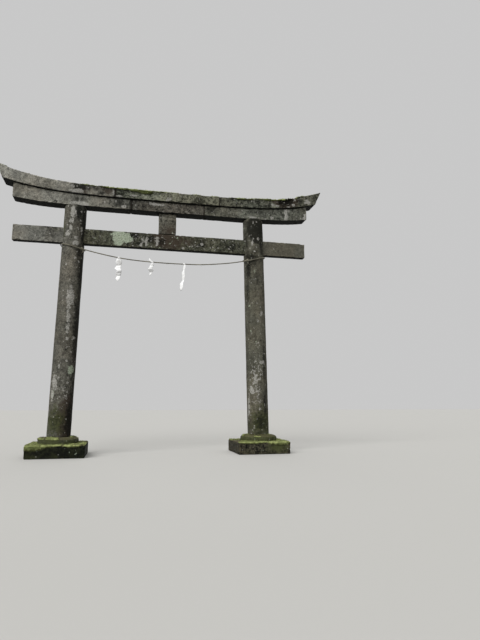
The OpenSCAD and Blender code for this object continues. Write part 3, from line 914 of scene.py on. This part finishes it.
def shader_group(name):
    """The shared group of that name, which is made the first time it is asked for"""
    if name in bpy.data.node_groups:
        return bpy.data.node_groups[name]
    make, inputs, outputs = SHADER_GROUPS[name]
    tree = bpy.data.node_groups.new(name, "ShaderNodeTree")
    for in_out, sockets in (("INPUT", inputs), ("OUTPUT", outputs)):
        for label, kind in sockets.items():
            tree.interface.new_socket(label, in_out=in_out, socket_type=kind)
    build = NodeBuilder(tree)
    given = build.add("NodeGroupInput").outputs
    build.add("NodeGroupOutput", make(build, given))
    return tree


def new_material(name):
    """Material with an empty tree, and its builder"""
    material = bpy.data.materials.new(name)
    material.use_nodes = True
    return material, NodeBuilder(material.node_tree)


def stained(build, colour, place, look, growth):
    """Lays run-off and the placed stains over a stone's colour; some of the black and brown marks
    paint shade
    """
    streaks = build.group("Run-off", {"Vector": place, "Strength": look.run_off})["Mask"]
    colour = build.mix(streaks, colour, growth.black_film_and_shade)
    lighter = build.group(
        "Stain", {"Vector": place, "Placed": build.attribute("light"), "Scale": 14.0}
    )["Mask"]
    colour = build.tinted(colour, (1.30, 1.29, 1.30), lighter)
    for kind, tint, scale, strength in (
        ("brown", growth.brown_colour, 24.0, 0.80),
        ("green", growth.green_colour, 18.0, 0.80),
        ("black", growth.black_film_and_shade, 30.0, 0.85),
    ):
        mask = build.group(
            "Stain", {"Vector": place, "Placed": build.attribute(kind), "Scale": scale}
        )["Mask"]
        colour = build.mix(build.times(mask, strength), colour, tint)
    return colour


def crusted(build, colour, place, look, growth):
    """Lays crusts and specks over a stone's colour, and gives the crusts' mask as well"""
    crusts = 0.0
    for kind, tint, cover, scale, strength in (
        ("lichen", growth.lichen_colour, look.lichen, 17.0, 0.85),
        ("pale", growth.pale_colour, look.pale, 26.0, 0.80),
    ):
        found = build.group("Crust", {
            "Vector": place, "Placed": build.attribute(kind), "Cover": cover, "Scale": scale,
        })
        shaded = build.tinted(tint, build.grey(found["Shade"]))
        colour = build.mix(build.times(found["Mask"], strength), colour, shaded)
        crusts = build.maths("MAXIMUM", crusts, found["Mask"])
    for tint, scale in ((growth.pale_colour, 30.0), (growth.black_film_and_shade, 23.0)):
        spots = build.group(
            "Specks", {"Vector": place, "Cover": look.specks, "Scale": scale}
        )["Mask"]
        colour = build.mix(build.times(spots, 0.7), colour, tint)
    return colour, crusts


def mossy(build, place, facing, growth):
    """Outputs of the moss group, placed by the attribute of that name"""
    return build.group("Moss", {
        "Vector": place, "Placed": build.attribute("moss"), "Facing": facing,
        "Shade": growth.moss_dark, "Tips": growth.moss_light, "Dry": growth.moss_dry,
    })


def stone_material(name, look):
    """Weathered granite with the growth and stains of one stone, and painted shade on its
    undersides
    """
    growth = bpy.context.scene.gate_growth
    material, build = new_material(name)
    place = build.object_place()
    facing = build.facing_up()
    clean = build.group("Granite", {
        "Vector": place, "Tone": linear(look.tone), "Mottle": look.mottle,
    })
    rubbed = build.step(build.noise(place, scale=40.0, detail=5, roughness=0.7), 0.35, 0.65)
    worn = build.times(build.attribute("worn"), rubbed, 0.55)
    colour = build.tinted(clean["Color"], (1.45, 1.43, 1.40), worn)
    colour = stained(build, colour, place, look, growth)
    colour, crusts = crusted(build, colour, place, look, growth)
    film = build.noise(place, scale=8.0, detail=6, roughness=0.65)
    film = build.step(film, 0.62 - 0.5 * look.green, 0.95 - 0.5 * look.green)
    colour = build.mix(build.times(film, look.green), colour, growth.green_colour)
    litter = build.step(facing, 0.4, 0.9, 0.0, 0.6 * look.moss)
    colour = build.mix(litter, colour, growth.moss_dry)
    # Painted shade: faces that look down are darkened towards the black colour
    under = build.step(build.times(facing, -1.0), 0.45, 0.9)
    colour = build.mix(under, colour, growth.black_film_and_shade)
    grown = mossy(build, place, facing, growth)
    colour = build.mix(grown["Mask"], colour, grown["Color"])
    height = build.plus(clean["Height"], build.times(crusts, 0.8))
    height = build.plus(height, build.times(grown["Mask"], grown["Height"], 3.0))
    roughness = build.step(clean["Height"], 0.3, 1.6, 0.76, 0.95)
    build.surface(colour, roughness, 0.12, height, depth=0.0022, strength=0.85)
    return material


def moss_material():
    """Moss that stands up from the stones"""
    growth = bpy.context.scene.gate_growth
    material, build = new_material("moss")
    grown = mossy(build, build.object_place(), build.facing_up(), growth)
    build.surface(grown["Color"], 0.95, 0.1, grown["Height"], depth=0.003)
    return material


def earth_material():
    """Dark earth that has filled an open joint"""
    growth = bpy.context.scene.gate_growth
    material, build = new_material("earth")
    crumbs = build.noise(build.object_place(), scale=130.0, detail=6, roughness=0.7)
    colour = build.mix(build.step(crumbs, 0.35, 0.70), growth.black_film_and_shade, growth.brown_colour)
    build.surface(colour, 0.95, 0.1, crumbs, depth=0.004)
    return material


def straw_material():
    """Dry straw, streaked along its fibres"""
    rope = bpy.context.scene.gate_rope
    material, build = new_material("straw")
    along = build.add("ShaderNodeAttribute", attribute_name="fibre").outputs["Vector"]
    stretched = build.vector_maths("MULTIPLY", along, (4.0, 4.0, 9.0))
    fibres = build.noise(stretched, scale=1.0, detail=6, roughness=0.7)
    colour = build.mix(build.step(fibres, 0.38, 0.60), rope.straw_dark, rope.straw_light)
    weathered = build.step(build.noise(build.object_place(), scale=9.0), 0.35, 0.65, 0.72, 1.15)
    colour = build.tinted(colour, build.grey(weathered))
    build.surface(colour, 0.8, 0.25, fibres, depth=0.0012)
    return material


def paper_material():
    """Matt paper, a little soiled by the weather"""
    streamers = bpy.context.scene.gate_streamers
    material, build = new_material("paper")
    place = build.object_place()
    soiled = build.noise(place, scale=26.0, detail=5, roughness=0.65)
    soiled = build.step(soiled, 0.50, 0.78, 0.0, 0.6)
    colour = build.mix(soiled, streamers.paper_colour, streamers.soiled_colour)
    fibres = build.noise(place, scale=320.0, detail=4, roughness=0.7)
    creases = build.noise(place, scale=60.0, detail=3)
    height = build.plus(build.times(fibres, 0.25), creases)
    build.surface(colour, 0.75, 0.3, height, depth=0.0015, strength=0.6)
    return material


def smooth_step(values, low, high):
    """0 below low, 1 above high and smooth between them"""
    t = np.clip((values - low) / (high - low), 0, 1)
    return t * t * (3 - 2 * t)


def noise_at(points, relief, seed):
    """Smooth noise from about 0 to 1 at each point"""
    shift = Vector((3.7, 1.9, 5.3)) * (seed + relief.seed)
    roughness, lacunarity = 1.0, 2.0
    found = [
        noise.fractal(Vector(p) * relief.scale + shift, roughness, lacunarity, relief.octaves)
        for p in points
    ]
    return np.array(found) * 0.55 + 0.5


def merged_copy(node):
    """A CAD node's mesh with its loose triangles joined"""
    built = bmesh.new()
    built.from_mesh(frame["nodes"][node].data)
    bmesh.ops.remove_doubles(built, verts=built.verts, dist=ONE_CORNER)
    return built


def arris_tree(built, spacing):
    """Points along every sharp edge, in a tree that finds the nearest"""
    found = []
    for edge in built.edges:
        if len(edge.link_faces) != 2 or edge.calc_face_angle() < ARRIS_ANGLE:
            continue
        start, end = (v.co for v in edge.verts)
        steps = max(1, math.ceil((end - start).length / spacing))
        found.extend(start.lerp(end, i / steps) for i in range(steps + 1))
    tree = KDTree(len(found))
    for i, point in enumerate(found):
        tree.insert(point, i)
    tree.balance()
    return tree


def even_quads(piece, quad_size):
    """Covers a closed piece with even quads"""
    remesh = piece.modifiers.new("Even quads", "REMESH")
    remesh.mode = "VOXEL"
    remesh.voxel_size = quad_size
    apply_modifiers(piece)
    smooth = piece.modifiers.new("Soften", "SMOOTH")
    smooth.factor = 0.5
    smooth.iterations = 2
    apply_modifiers(piece)
    piece.data.shade_smooth()


def vertex_arrays(mesh):
    """Places and normals of a mesh's vertices"""
    points = np.empty(len(mesh.vertices) * 3)
    mesh.vertices.foreach_get("co", points)
    normals = np.empty(len(mesh.vertices) * 3)
    mesh.vertex_normals.foreach_get("vector", normals)
    return points.reshape(-1, 3), normals.reshape(-1, 3)


def mark_amounts(stone, points, normals):
    """How strongly each kind of mark lies on each point of a stone's front"""
    front = smooth_step(-normals[:, 1], 0.0, 0.25)
    amounts = {kind: np.zeros(len(points)) for kind in MARK_KINDS}
    for kind, marks in MARKS.get(stone, {}).items():
        for mark in (Mark(*values) for values in marks):
            away = np.hypot(
                (points[:, 0] - mark.x) / (mark.width / 2),
                (points[:, 2] - mark.z) / (mark.height / 2),
            )
            amount = np.clip(1 - 0.5 * away, 0, 1) * mark.strength * front
            amounts[kind] = np.maximum(amounts[kind], amount)
    return amounts


def moss_amount(share, points, normals, seed):
    """Moss on what faces the sky, in beds that cover about a share of it"""
    if share == 0:
        return np.zeros(len(points))
    sky = smooth_step(normals[:, 2], 0.35, 0.8)
    beds = noise_at(points, MOSS_BEDS, seed)
    return sky * smooth_step(beds, 0.72 - 0.5 * share, 0.95 - 0.5 * share)


def damage_depth(stone, points, seed):
    """How deep the stone has broken away at each point"""
    depth = np.zeros(len(points))
    for damage in DAMAGES.get(stone, []):
        offset = (points - np.array(damage.centre)) / np.array(damage.radii)
        near = 1 - np.linalg.norm(offset, axis=1)
        touched = near > -0.5
        rough = np.zeros(len(points))
        rough[touched] = noise_at(points[touched], BROKEN_FACE, seed) - 0.5
        depth = np.maximum(depth, damage.depth * smooth_step(near + rough, 0.0, 0.35))
    return depth


def wear_depth(points, normals, worn, seed):
    """How deep the weather has worn the stone at each point, less where it rests"""
    settings = bpy.context.scene.gate_stone
    depth = settings.hollow_depth * np.clip(noise_at(points, HOLLOWS, seed), 0, 1)
    depth += settings.tooling_depth * np.clip(noise_at(points, TOOLING, seed), 0, 1)
    chipped = smooth_step(noise_at(points, CHIPS, seed), 0.62, 0.80)
    depth += settings.chip_depth * worn * chipped
    resting = smooth_step(-normals[:, 2], 0.85, 0.97)
    return depth * (1 - 0.8 * resting)


def moss_rise(amount, points, seed):
    """How far the moss stands up from each point"""
    thick = smooth_step(amount, 0.35, 0.65)
    if not thick.any():
        return thick
    lumps = np.clip(0.25 + noise_at(points, MOSS_LUMPS, seed), 0, 1)
    return bpy.context.scene.gate_stone.moss_height * thick * lumps


def weather(piece, stone, look, arrises, seed):
    """Wears a stone's skin inwards, raises its moss and stores where growth, stains and painted
    shade lie
    """
    mesh = piece.data
    points, normals = vertex_arrays(mesh)
    away = np.array([arrises.find(Vector(p))[2] for p in points])
    worn = 1 - smooth_step(away, ARRIS_CORE, bpy.context.scene.gate_stone.arris_reach)
    amounts = mark_amounts(stone, points, normals)
    amounts["moss"] = np.maximum(amounts["moss"], moss_amount(look.moss, points, normals, seed))
    depth = wear_depth(points, normals, worn, seed) + damage_depth(stone, points, seed)
    depth -= moss_rise(amounts["moss"], points, seed)
    points -= normals * depth[:, None]
    corners = np.array([corner.co for corner in frame["nodes"][stone].data.vertices])
    points = np.clip(points, corners.min(axis=0), corners.max(axis=0))
    mesh.vertices.foreach_set("co", points.ravel())
    for kind, amount in amounts.items():
        store(mesh, kind, amount)
    store(mesh, "worn", worn)
    mesh.update()


def stone_piece(stone):
    """Weathered stone that stands for a CAD node"""
    quad_size = bpy.context.scene.gate_stone.quad_size
    look = STONES[stone]
    built = merged_copy(stone)
    arrises = arris_tree(built, quad_size)
    piece = mesh_piece(stone + "_stone", built)
    even_quads(piece, quad_size)
    weather(piece, stone, look, arrises, seed=sorted(STONES).index(stone) + 1)
    finish_piece(piece, stone_material(stone, look), RECORD_SLOTS[stone], stone)


def joint_earth(stone, material):
    """Block of earth in the joint at the inner end of a lintel's outer stone"""
    settings = bpy.context.scene.gate_stone
    corners = [vertex.co for vertex in frame["nodes"][stone].data.vertices]
    inner = min((corner.x for corner in corners), key=abs)
    face = [corner for corner in corners if abs(corner.x - inner) < ONE_FACE]
    side = math.copysign(1, inner)
    middle = sum(face, Vector()) / len(face)
    inset = 1 - settings.joint_set_back / max(abs(corner.y) for corner in face)
    ends = (
        inner + side * settings.joint_set_back,
        inner - side * EARTH_REACH * settings.joint_gap,
    )
    built = bmesh.new()
    for corner in face:
        for x in ends:
            built.verts.new((x, corner.y * inset, middle.z + (corner.z - middle.z) * inset))
    bmesh.ops.convex_hull(built, input=built.verts)
    piece = mesh_piece(stone + "_joint_earth", built)
    even_quads(piece, settings.joint_gap)
    finish_piece(piece, material, RECORD_SLOTS[stone])


def smoothed(points, spacing):
    """Points of a smooth curve through the given ones"""
    points = [Vector(p) for p in points]
    found = []
    for i in range(len(points) - 1):
        b, c = points[i], points[i + 1]
        a, d = points[max(i - 1, 0)], points[min(i + 2, len(points) - 1)]
        steps = max(1, round((c - b).length / spacing))
        for t in (k / steps for k in range(steps)):
            found.append(
                0.5 * (2 * b + (c - a) * t + (2 * a - 5 * b + 4 * c - d) * t * t
                       + (3 * b - a - 3 * c + d) * t ** 3)
            )
    return found + [points[-1]]


def tube_piece(name, lines, radius, sides=8, tip=1.0):
    """Round tubes along lists of points, whose last radius is a share of the first"""
    curve = bpy.data.curves.new(name, "CURVE")
    curve.dimensions = "3D"
    curve.bevel_depth = radius
    curve.bevel_resolution = (sides - 4) // 2
    for line in lines:
        spline = curve.splines.new("POLY")
        spline.points.add(len(line) - 1)
        for i, point in enumerate(line):
            spline.points[i].co = (*point, 1)
            spline.points[i].radius = 1 - (1 - tip) * i / (len(line) - 1)
    drawn = new_object(name + "_line", curve)
    mesh = evaluated_mesh(drawn)
    bpy.data.objects.remove(drawn)
    bpy.data.curves.remove(curve)
    mesh.shade_smooth()
    store_fibres(mesh, lines, sides)
    close_ends(mesh)
    return new_object(name, mesh)


def store_fibres(mesh, lines, sides):
    """Stores, for the straw's streaks, each point's place round and along its tube"""
    values = []
    for line in lines:
        along = 0.0
        for i, point in enumerate(line):
            along += (point - line[i - 1]).length if i else 0
            for k in range(sides):
                turn = math.tau * k / sides
                values.extend((math.cos(turn), math.sin(turn), along))
    if len(values) != 3 * len(mesh.vertices):
        raise RuntimeError(f"{mesh.name} has {len(mesh.vertices)} vertices, not {len(values) // 3}")
    mesh.attributes.new("fibre", "FLOAT_VECTOR", "POINT").data.foreach_set("vector", values)


def close_ends(mesh):
    """Fills the open ends of tubes"""
    built = bmesh.new()
    built.from_mesh(mesh)
    bmesh.ops.holes_fill(built, edges=[e for e in built.edges if e.is_boundary], sides=0)
    built.to_mesh(mesh)
    built.free()


def laid_rope(name, line, diameter, lay_length):
    """Rope of three strands that are laid round a line"""
    offset = STRAND_OFFSET * diameter
    strands = [[], [], []]
    along = 0.0
    for i, point in enumerate(line):
        along += (point - line[i - 1]).length if i else 0
        direction = (line[min(i + 1, len(line) - 1)] - line[max(i - 1, 0)]).normalized()
        upward = Vector((0, 0, 1)) if abs(direction.z) < 0.9 else Vector((0, 1, 0))
        across = direction.cross(upward).normalized()
        up = across.cross(direction)
        for k, strand in enumerate(strands):
            turn = math.tau * (along / lay_length + k / 3)
            strand.append(point + offset * (math.cos(turn) * across + math.sin(turn) * up))
    return tube_piece(name, strands, STRAND_RADIUS * diameter)


def knot_line(centre, axis, side, settings):
    """Two and a half turns round an axis, then a loose end that hangs down"""
    axis = axis.normalized()
    across = axis.cross(Vector((0, 0, 1))).normalized()
    up = across.cross(axis)
    radius = settings.knot_radius
    turn_steps, tail_steps = 44, 12
    line = []
    for share in (i / turn_steps for i in range(turn_steps + 1)):
        turn = math.tau * KNOT_TURNS * share + math.pi / 2
        slide = (share - 0.5) * 1.6 * radius
        spoke = math.cos(turn) * across + math.sin(turn) * up
        line.append(centre + axis * slide + radius * spoke)
    end = line[-1]
    for share in (i / tail_steps for i in range(1, tail_steps + 1)):
        sway = 0.012 * math.sin(3.0 * share) * side
        line.append(end + Vector((sway, -0.004 * share, -settings.tail_length * share)))
    return line


def frayed_end(line, pick, straws=16, spread=0.22, length=0.030):
    """Lines of straws that fan out from a line's last point"""
    direction = (line[-1] - line[-3]).normalized()
    found = []
    for _ in range(straws):
        lean = Vector((pick.uniform(-1, 1), pick.uniform(-1, 1), pick.uniform(-0.3, 0.3))) * spread
        reach = length * pick.uniform(0.5, 1)
        root = line[-1] - direction * 0.006 + lean * 0.003
        found.append([root + (direction * t + lean * t * t) * reach for t in (0, 0.3, 0.65, 1)])
    return found


def loose_straws(line, diameter, count, pick):
    """Lines of short straws that stick out of a rope"""
    found = []
    for _ in range(count):
        i = pick.randrange(4, len(line) - 4)
        along = (line[i + 1] - line[i - 1]).normalized() * pick.choice((-1, 1))
        out = Vector((pick.uniform(-1, 1), pick.uniform(-1, 1), pick.uniform(-1, 0.6)))
        out = (out - out.dot(along) * along).normalized()
        reach = pick.uniform(0.012, 0.034)
        root = line[i] + out * diameter * 0.35
        shares = (0, 0.35, 0.7, 1)
        found.append([root + along * reach * t + out * reach * 0.55 * t * t for t in shares])
    return found


def on_rib(rib, share):
    """Point of a rib at a share of its way from left to right, measured from the rope"""
    left = Vector((rib.left, -rib.left_forward, -rib.left_drop))
    right = Vector((rib.right, -rib.right_forward, -rib.right_drop))
    return left.lerp(right, share)


def streamer_piece(name, streamer, material):
    """Zigzag of folded paper through the ribs of a streamer"""
    settings = bpy.context.scene.gate_streamers
    across, along = 8, 5
    built = bmesh.new()
    rows = []
    for rib, following in zip(streamer.ribs, streamer.ribs[1:] + [None]):
        for step in range(along if following else 1):
            share = step / along
            row = []
            for u in (k / across for k in range(across + 1)):
                point = on_rib(rib, u)
                if following:
                    point = point.lerp(on_rib(following, u), share)
                bulge = 4 * share * (1 - share) * (0.3 + 2.8 * u * (1 - u))
                point.y -= settings.curl * bulge
                row.append(built.verts.new(streamer.hang + point))
            rows.append((row, rib.crease and step == 0))
    for (row, creased), (below, _) in zip(rows, rows[1:]):
        for k in range(across):
            built.faces.new((row[k], below[k], below[k + 1], row[k + 1]))
            if creased:
                built.edges.get((row[k], row[k + 1])).smooth = False
    piece = mesh_piece(name + "_paper", built)
    thick = piece.modifiers.new("Paper thickness", "SOLIDIFY")
    thick.thickness = settings.thickness
    thick.offset = 0
    finish_piece(piece, material, "paper", name)


def moss_cushion(pick):
    """Mesh of a low lumpy dome of radius 1"""
    built = bmesh.new()
    squat = Matrix.Diagonal((1, 1, 0.55, 1))
    dome = bmesh.ops.create_icosphere(built, subdivisions=2, radius=1, matrix=squat)
    for vertex in dome["verts"]:
        vertex.co *= pick.uniform(0.84, 1.16)
    return bmesh_data("cushion", built)


def moss_sprig():
    """Mesh of a thin cone of height 1"""
    built = bmesh.new()
    bmesh.ops.create_cone(
        built, segments=3, radius1=0.16, radius2=0.02, depth=1, cap_ends=True,
        matrix=Matrix.Translation((0, 0, 0.4)),
    )
    return bmesh_data("sprig", built)


def mossy_points(stone):
    """Places, normals and amounts of a stone's skin where moss is thick and has room"""
    mesh = bpy.data.objects[stone + "_stone"].data
    amounts = np.empty(len(mesh.vertices))
    mesh.attributes["moss"].data.foreach_get("value", amounts)
    room = Vector((MOSS_ROOM, MOSS_ROOM, MOSS_ROOM))
    low, high = CAD_BOX[0] + room, CAD_BOX[1] - room
    found = []
    for i in np.nonzero(amounts > THICK_MOSS)[0]:
        vertex = mesh.vertices[int(i)]
        point = vertex.co.copy()
        if low.x < point.x < high.x and low.y < point.y < high.y and point.z < high.z:
            found.append((point, vertex.normal.copy(), float(amounts[i])))
    return found


def standing_at(point, direction, size):
    """Placement that stands a shape of height 1 on a point, along a direction"""
    turn = direction.to_track_quat("Z", "Y").to_matrix().to_4x4()
    return Matrix.Translation(point) @ turn @ Matrix.Scale(size, 4)


def joined_copies(name, copies, attribute):
    """One object of many placed copies of small meshes, each with its attribute's value"""
    points, faces, values = [], [], []
    for mesh, place, value in copies:
        start = len(points)
        points += [place @ vertex.co for vertex in mesh.vertices]
        faces += [[start + i for i in polygon.vertices] for polygon in mesh.polygons]
        values += [value] * len(mesh.vertices)
    joined = bpy.data.meshes.new(name)
    joined.from_pydata(points, [], faces)
    joined.shade_smooth()
    store(joined, attribute, values)
    return new_object(name, joined)


def moss_piece(name, stones, pick):
    """Cushions and sprigs of moss that grow on some stones"""
    settings = bpy.context.scene.gate_moss
    ground = [spot for stone in stones for spot in mossy_points(stone)]
    if not ground:
        raise RuntimeError(f"no moss grows on {stones}")
    cushions = [moss_cushion(pick) for _ in range(CUSHION_SHAPES)]
    sprig = moss_sprig()
    copies = []
    for _ in range(settings.cushions):
        point, normal, amount = pick.choice(ground)
        size = settings.cushion_radius * pick.uniform(0.4, 1) * min(amount, 1)
        copies.append((pick.choice(cushions), standing_at(point, normal, size), amount))
    for _ in range(settings.sprigs):
        point, normal, amount = pick.choice(ground)
        lean = Vector((pick.uniform(-1, 1), pick.uniform(-1, 1), pick.uniform(-0.5, 0.7)))
        size = settings.sprig_height * pick.uniform(0.35, 1)
        copies.append((sprig, standing_at(point, normal + 0.55 * lean, size), amount))
    return joined_copies(name, copies, "moss")


def shows_background(build):
    """1 for the rays that show the background: to the camera, in gloss and through glass"""
    path = build.add("ShaderNodeLightPath").outputs
    shown = build.maths("MAXIMUM", path["Is Camera Ray"], path["Is Glossy Ray"])
    return build.maths("MAXIMUM", shown, path["Is Transmission Ray"])


class GATE_OT_stage(bpy.types.Operator):
    """Sets up the camera, the pale floor and the soft studio light"""

    bl_idname = "gate.stage"
    bl_label = "Stage"

    def execute(self, context):
        settings = context.scene.gate_stage
        context.scene.view_settings.view_transform = "Standard"
        self.add_camera(context, settings)
        self.add_floor(settings)
        self.add_sky(context, settings)
        self.add_sun("key", settings.key_strength, settings.softness, KEY_DIRECTION)
        self.add_sun("back", settings.back_strength, settings.softness, BACK_DIRECTION)
        return {"FINISHED"}

    def add_camera(self, context, settings):
        """Stands the camera low in front of the gate, a little to its left"""
        data = bpy.data.cameras.new("camera")
        data.sensor_width = 36
        data.lens = settings.camera_lens
        camera = new_object("camera", data)
        yaw, pitch = settings.camera_yaw, settings.camera_pitch
        ahead = Vector((
            math.sin(yaw) * math.cos(pitch), math.cos(yaw) * math.cos(pitch), math.sin(pitch),
        ))
        camera.location = settings.camera_place
        camera.rotation_mode = "QUATERNION"
        camera.rotation_quaternion = ahead.to_track_quat("-Z", "Y")
        context.scene.camera = camera

    def add_floor(self, settings):
        """Lays a pale floor that gives the gate only a share of its light"""
        built = bmesh.new()
        bmesh.ops.create_grid(built, x_segments=1, y_segments=1, size=settings.floor_side / 2)
        floor = mesh_piece("floor", built)
        material, build = new_material("floor")
        shown = settings.floor_colour
        colour = build.mix(shows_background(build), settings.bounce * shown, shown)
        shader = build.add("ShaderNodeBsdfPrincipled", {
            "Base Color": colour, "Roughness": 0.9, "Specular IOR Level": 0.0,
        })
        build.add("ShaderNodeOutputMaterial", {"Surface": shader.outputs[0]})
        floor.data.materials.append(material)

    def add_sky(self, context, settings):
        """Adds even light from all round, which the camera sees as a plain backdrop"""
        world = bpy.data.worlds.new("studio")
        world.use_nodes = True
        build = NodeBuilder(world.node_tree)
        strength = build.step(
            shows_background(build), 0.0, 1.0, settings.sky_strength, settings.backdrop
        )
        background = build.add("ShaderNodeBackground", {
            "Color": (1.0, 1.0, 1.0), "Strength": strength,
        })
        build.add("ShaderNodeOutputWorld", {"Surface": background.outputs[0]})
        context.scene.world = world

    def add_sun(self, name, strength, softness, direction):
        """Adds a soft light that shines in a direction"""
        data = bpy.data.lights.new(name, "SUN")
        data.energy = strength
        data.angle = softness
        light = new_object(name, data)
        light.rotation_mode = "QUATERNION"
        light.rotation_quaternion = Vector(direction).to_track_quat("-Z", "Y")


class GATE_OT_rope(bpy.types.Operator):
    """Lays the straw rope from its knot at one pillar to its knot at the other"""

    bl_idname = "gate.rope"
    bl_label = "Straw rope"

    def execute(self, context):
        settings = context.scene.gate_rope
        pick = random.Random(ROPE_SEED)
        line = smoothed(ROPE_ROUTE, ROPE_STEP)
        rope = laid_rope("rope", line, settings.diameter, settings.lay_length)
        on_rope = []
        frays = []
        for name, side, end, beside in (
            ("rope_knot_left", -1, ROPE_ROUTE[0], ROPE_ROUTE[10]),
            ("rope_knot_right", 1, ROPE_ROUTE[-1], ROPE_ROUTE[-11]),
        ):
            centre = (Vector(end) + Vector(beside)) / 2
            centre.x = end[0]
            bend = knot_line(centre, Vector((1.0, -0.1, 0.26 * side)), -side, settings)
            thin = KNOT_ROPE * settings.diameter
            on_rope.append(laid_rope(name, bend, thin, settings.lay_length))
            frays += frayed_end(bend, pick)
        frays += loose_straws(line, settings.diameter, settings.loose_straws, pick)
        on_rope.append(tube_piece("loose_straws", frays, STRAW_RADIUS, sides=4, tip=0.3))
        straw = straw_material()
        for piece in (rope, *on_rope):
            finish_piece(piece, straw, "straw")
        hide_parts("straw_rope")
        return {"FINISHED"}


class GATE_OT_streamers(bpy.types.Operator):
    """Hangs the three paper streamers on the rope"""

    bl_idname = "gate.streamers"
    bl_label = "Paper streamers"

    def execute(self, context):
        paper = paper_material()
        for name, streamer in STREAMERS.items():
            streamer_piece(name, streamer, paper)
        return {"FINISHED"}


class StoneOperator:
    """What the operators that weather a group of stones share"""

    stones = ()

    def execute(self, context):
        for stone in self.stones:
            stone_piece(stone)
        return {"FINISHED"}


class GATE_OT_footings(StoneOperator, bpy.types.Operator):
    """Weathers the ground slabs and the round seats"""

    bl_idname = "gate.footings"
    bl_label = "Footings"
    stones = ("base_slab_left", "base_slab_right", "pillar_seat_left", "pillar_seat_right")


class GATE_OT_pillars(StoneOperator, bpy.types.Operator):
    """Weathers the two pillars"""

    bl_idname = "gate.pillars"
    bl_label = "Pillars"
    stones = ("pillar_left", "pillar_right")


class GATE_OT_tie_beam(StoneOperator, bpy.types.Operator):
    """Weathers the three stones of the tie beam and the strut on it"""

    bl_idname = "gate.tie_beam"
    bl_label = "Tie beam and strut"
    stones = ("tie_beam_end_left", "tie_beam_centre", "tie_beam_end_right", "centre_strut")


class GATE_OT_lower_lintel(StoneOperator, bpy.types.Operator):
    """Weathers the three stones of the lower lintel"""

    bl_idname = "gate.lower_lintel"
    bl_label = "Lower lintel"
    stones = ("lower_lintel_left", "lower_lintel_centre", "lower_lintel_right")


class GATE_OT_top_lintel(StoneOperator, bpy.types.Operator):
    """Weathers the three stones of the top lintel"""

    bl_idname = "gate.top_lintel"
    bl_label = "Top lintel"
    stones = ("top_lintel_left", "top_lintel_centre", "top_lintel_right")


class GATE_OT_joints(bpy.types.Operator):
    """Fills the open joints of both lintels with earth"""

    bl_idname = "gate.joints"
    bl_label = "Joints"

    def execute(self, context):
        earth = earth_material()
        for lintel in ("lower_lintel", "top_lintel"):
            for side in ("left", "right"):
                joint_earth(f"{lintel}_{side}", earth)
        return {"FINISHED"}


class GATE_OT_moss(bpy.types.Operator):
    """Grows cushions and sprigs on the mossy stones"""

    bl_idname = "gate.moss"
    bl_label = "Moss"

    def execute(self, context):
        material = moss_material()
        for number, (name, stones) in enumerate(MOSS_PIECES.items()):
            piece = moss_piece(name, stones, random.Random(MOSS_SEED + number))
            finish_piece(piece, material, RECORD_SLOTS[stones[0]])
        return {"FINISHED"}


OPERATORS = (
    GATE_OT_stage, GATE_OT_rope, GATE_OT_streamers, GATE_OT_footings, GATE_OT_pillars,
    GATE_OT_tie_beam, GATE_OT_lower_lintel, GATE_OT_top_lintel, GATE_OT_joints, GATE_OT_moss,
)

SETTINGS = {
    "gate_stage": GateStageSettings,
    "gate_stone": GateStoneSettings,
    "gate_growth": GateGrowthSettings,
    "gate_rope": GateRopeSettings,
    "gate_streamers": GateStreamerSettings,
    "gate_moss": GateMossSettings,
}


class GATE_PT_panel(bpy.types.Panel):
    """Lists the steps that dress the gate, and their settings"""

    bl_label = "Stone Gate"
    bl_space_type = "VIEW_3D"
    bl_region_type = "UI"
    bl_category = "Stone Gate"

    def draw(self, context):
        for operator in OPERATORS:
            self.layout.operator(operator.bl_idname)
        for key, group in SETTINGS.items():
            box = self.layout.box()
            box.label(text=group.__doc__)
            for name in group.__annotations__:
                box.prop(getattr(context.scene, key), name)


CLASSES = (*SETTINGS.values(), *OPERATORS, GATE_PT_panel)


def register():
    """Adds the settings, the operators and the panel"""
    for cls in CLASSES:
        bpy.utils.register_class(cls)
    for key, group in SETTINGS.items():
        setattr(bpy.types.Scene, key, PointerProperty(type=group))


def unregister():
    """Takes away what register adds"""
    for key in SETTINGS:
        delattr(bpy.types.Scene, key)
    for cls in reversed(CLASSES):
        bpy.utils.unregister_class(cls)


def main():
    """Dresses the gate"""
    register()
    bpy.ops.gate.stage()
    bpy.ops.gate.rope()
    bpy.ops.gate.streamers()
    bpy.ops.gate.footings()
    bpy.ops.gate.pillars()
    bpy.ops.gate.tie_beam()
    bpy.ops.gate.lower_lintel()
    bpy.ops.gate.top_lintel()
    bpy.ops.gate.joints()
    bpy.ops.gate.moss()


if __name__ == "__main__":
    main()
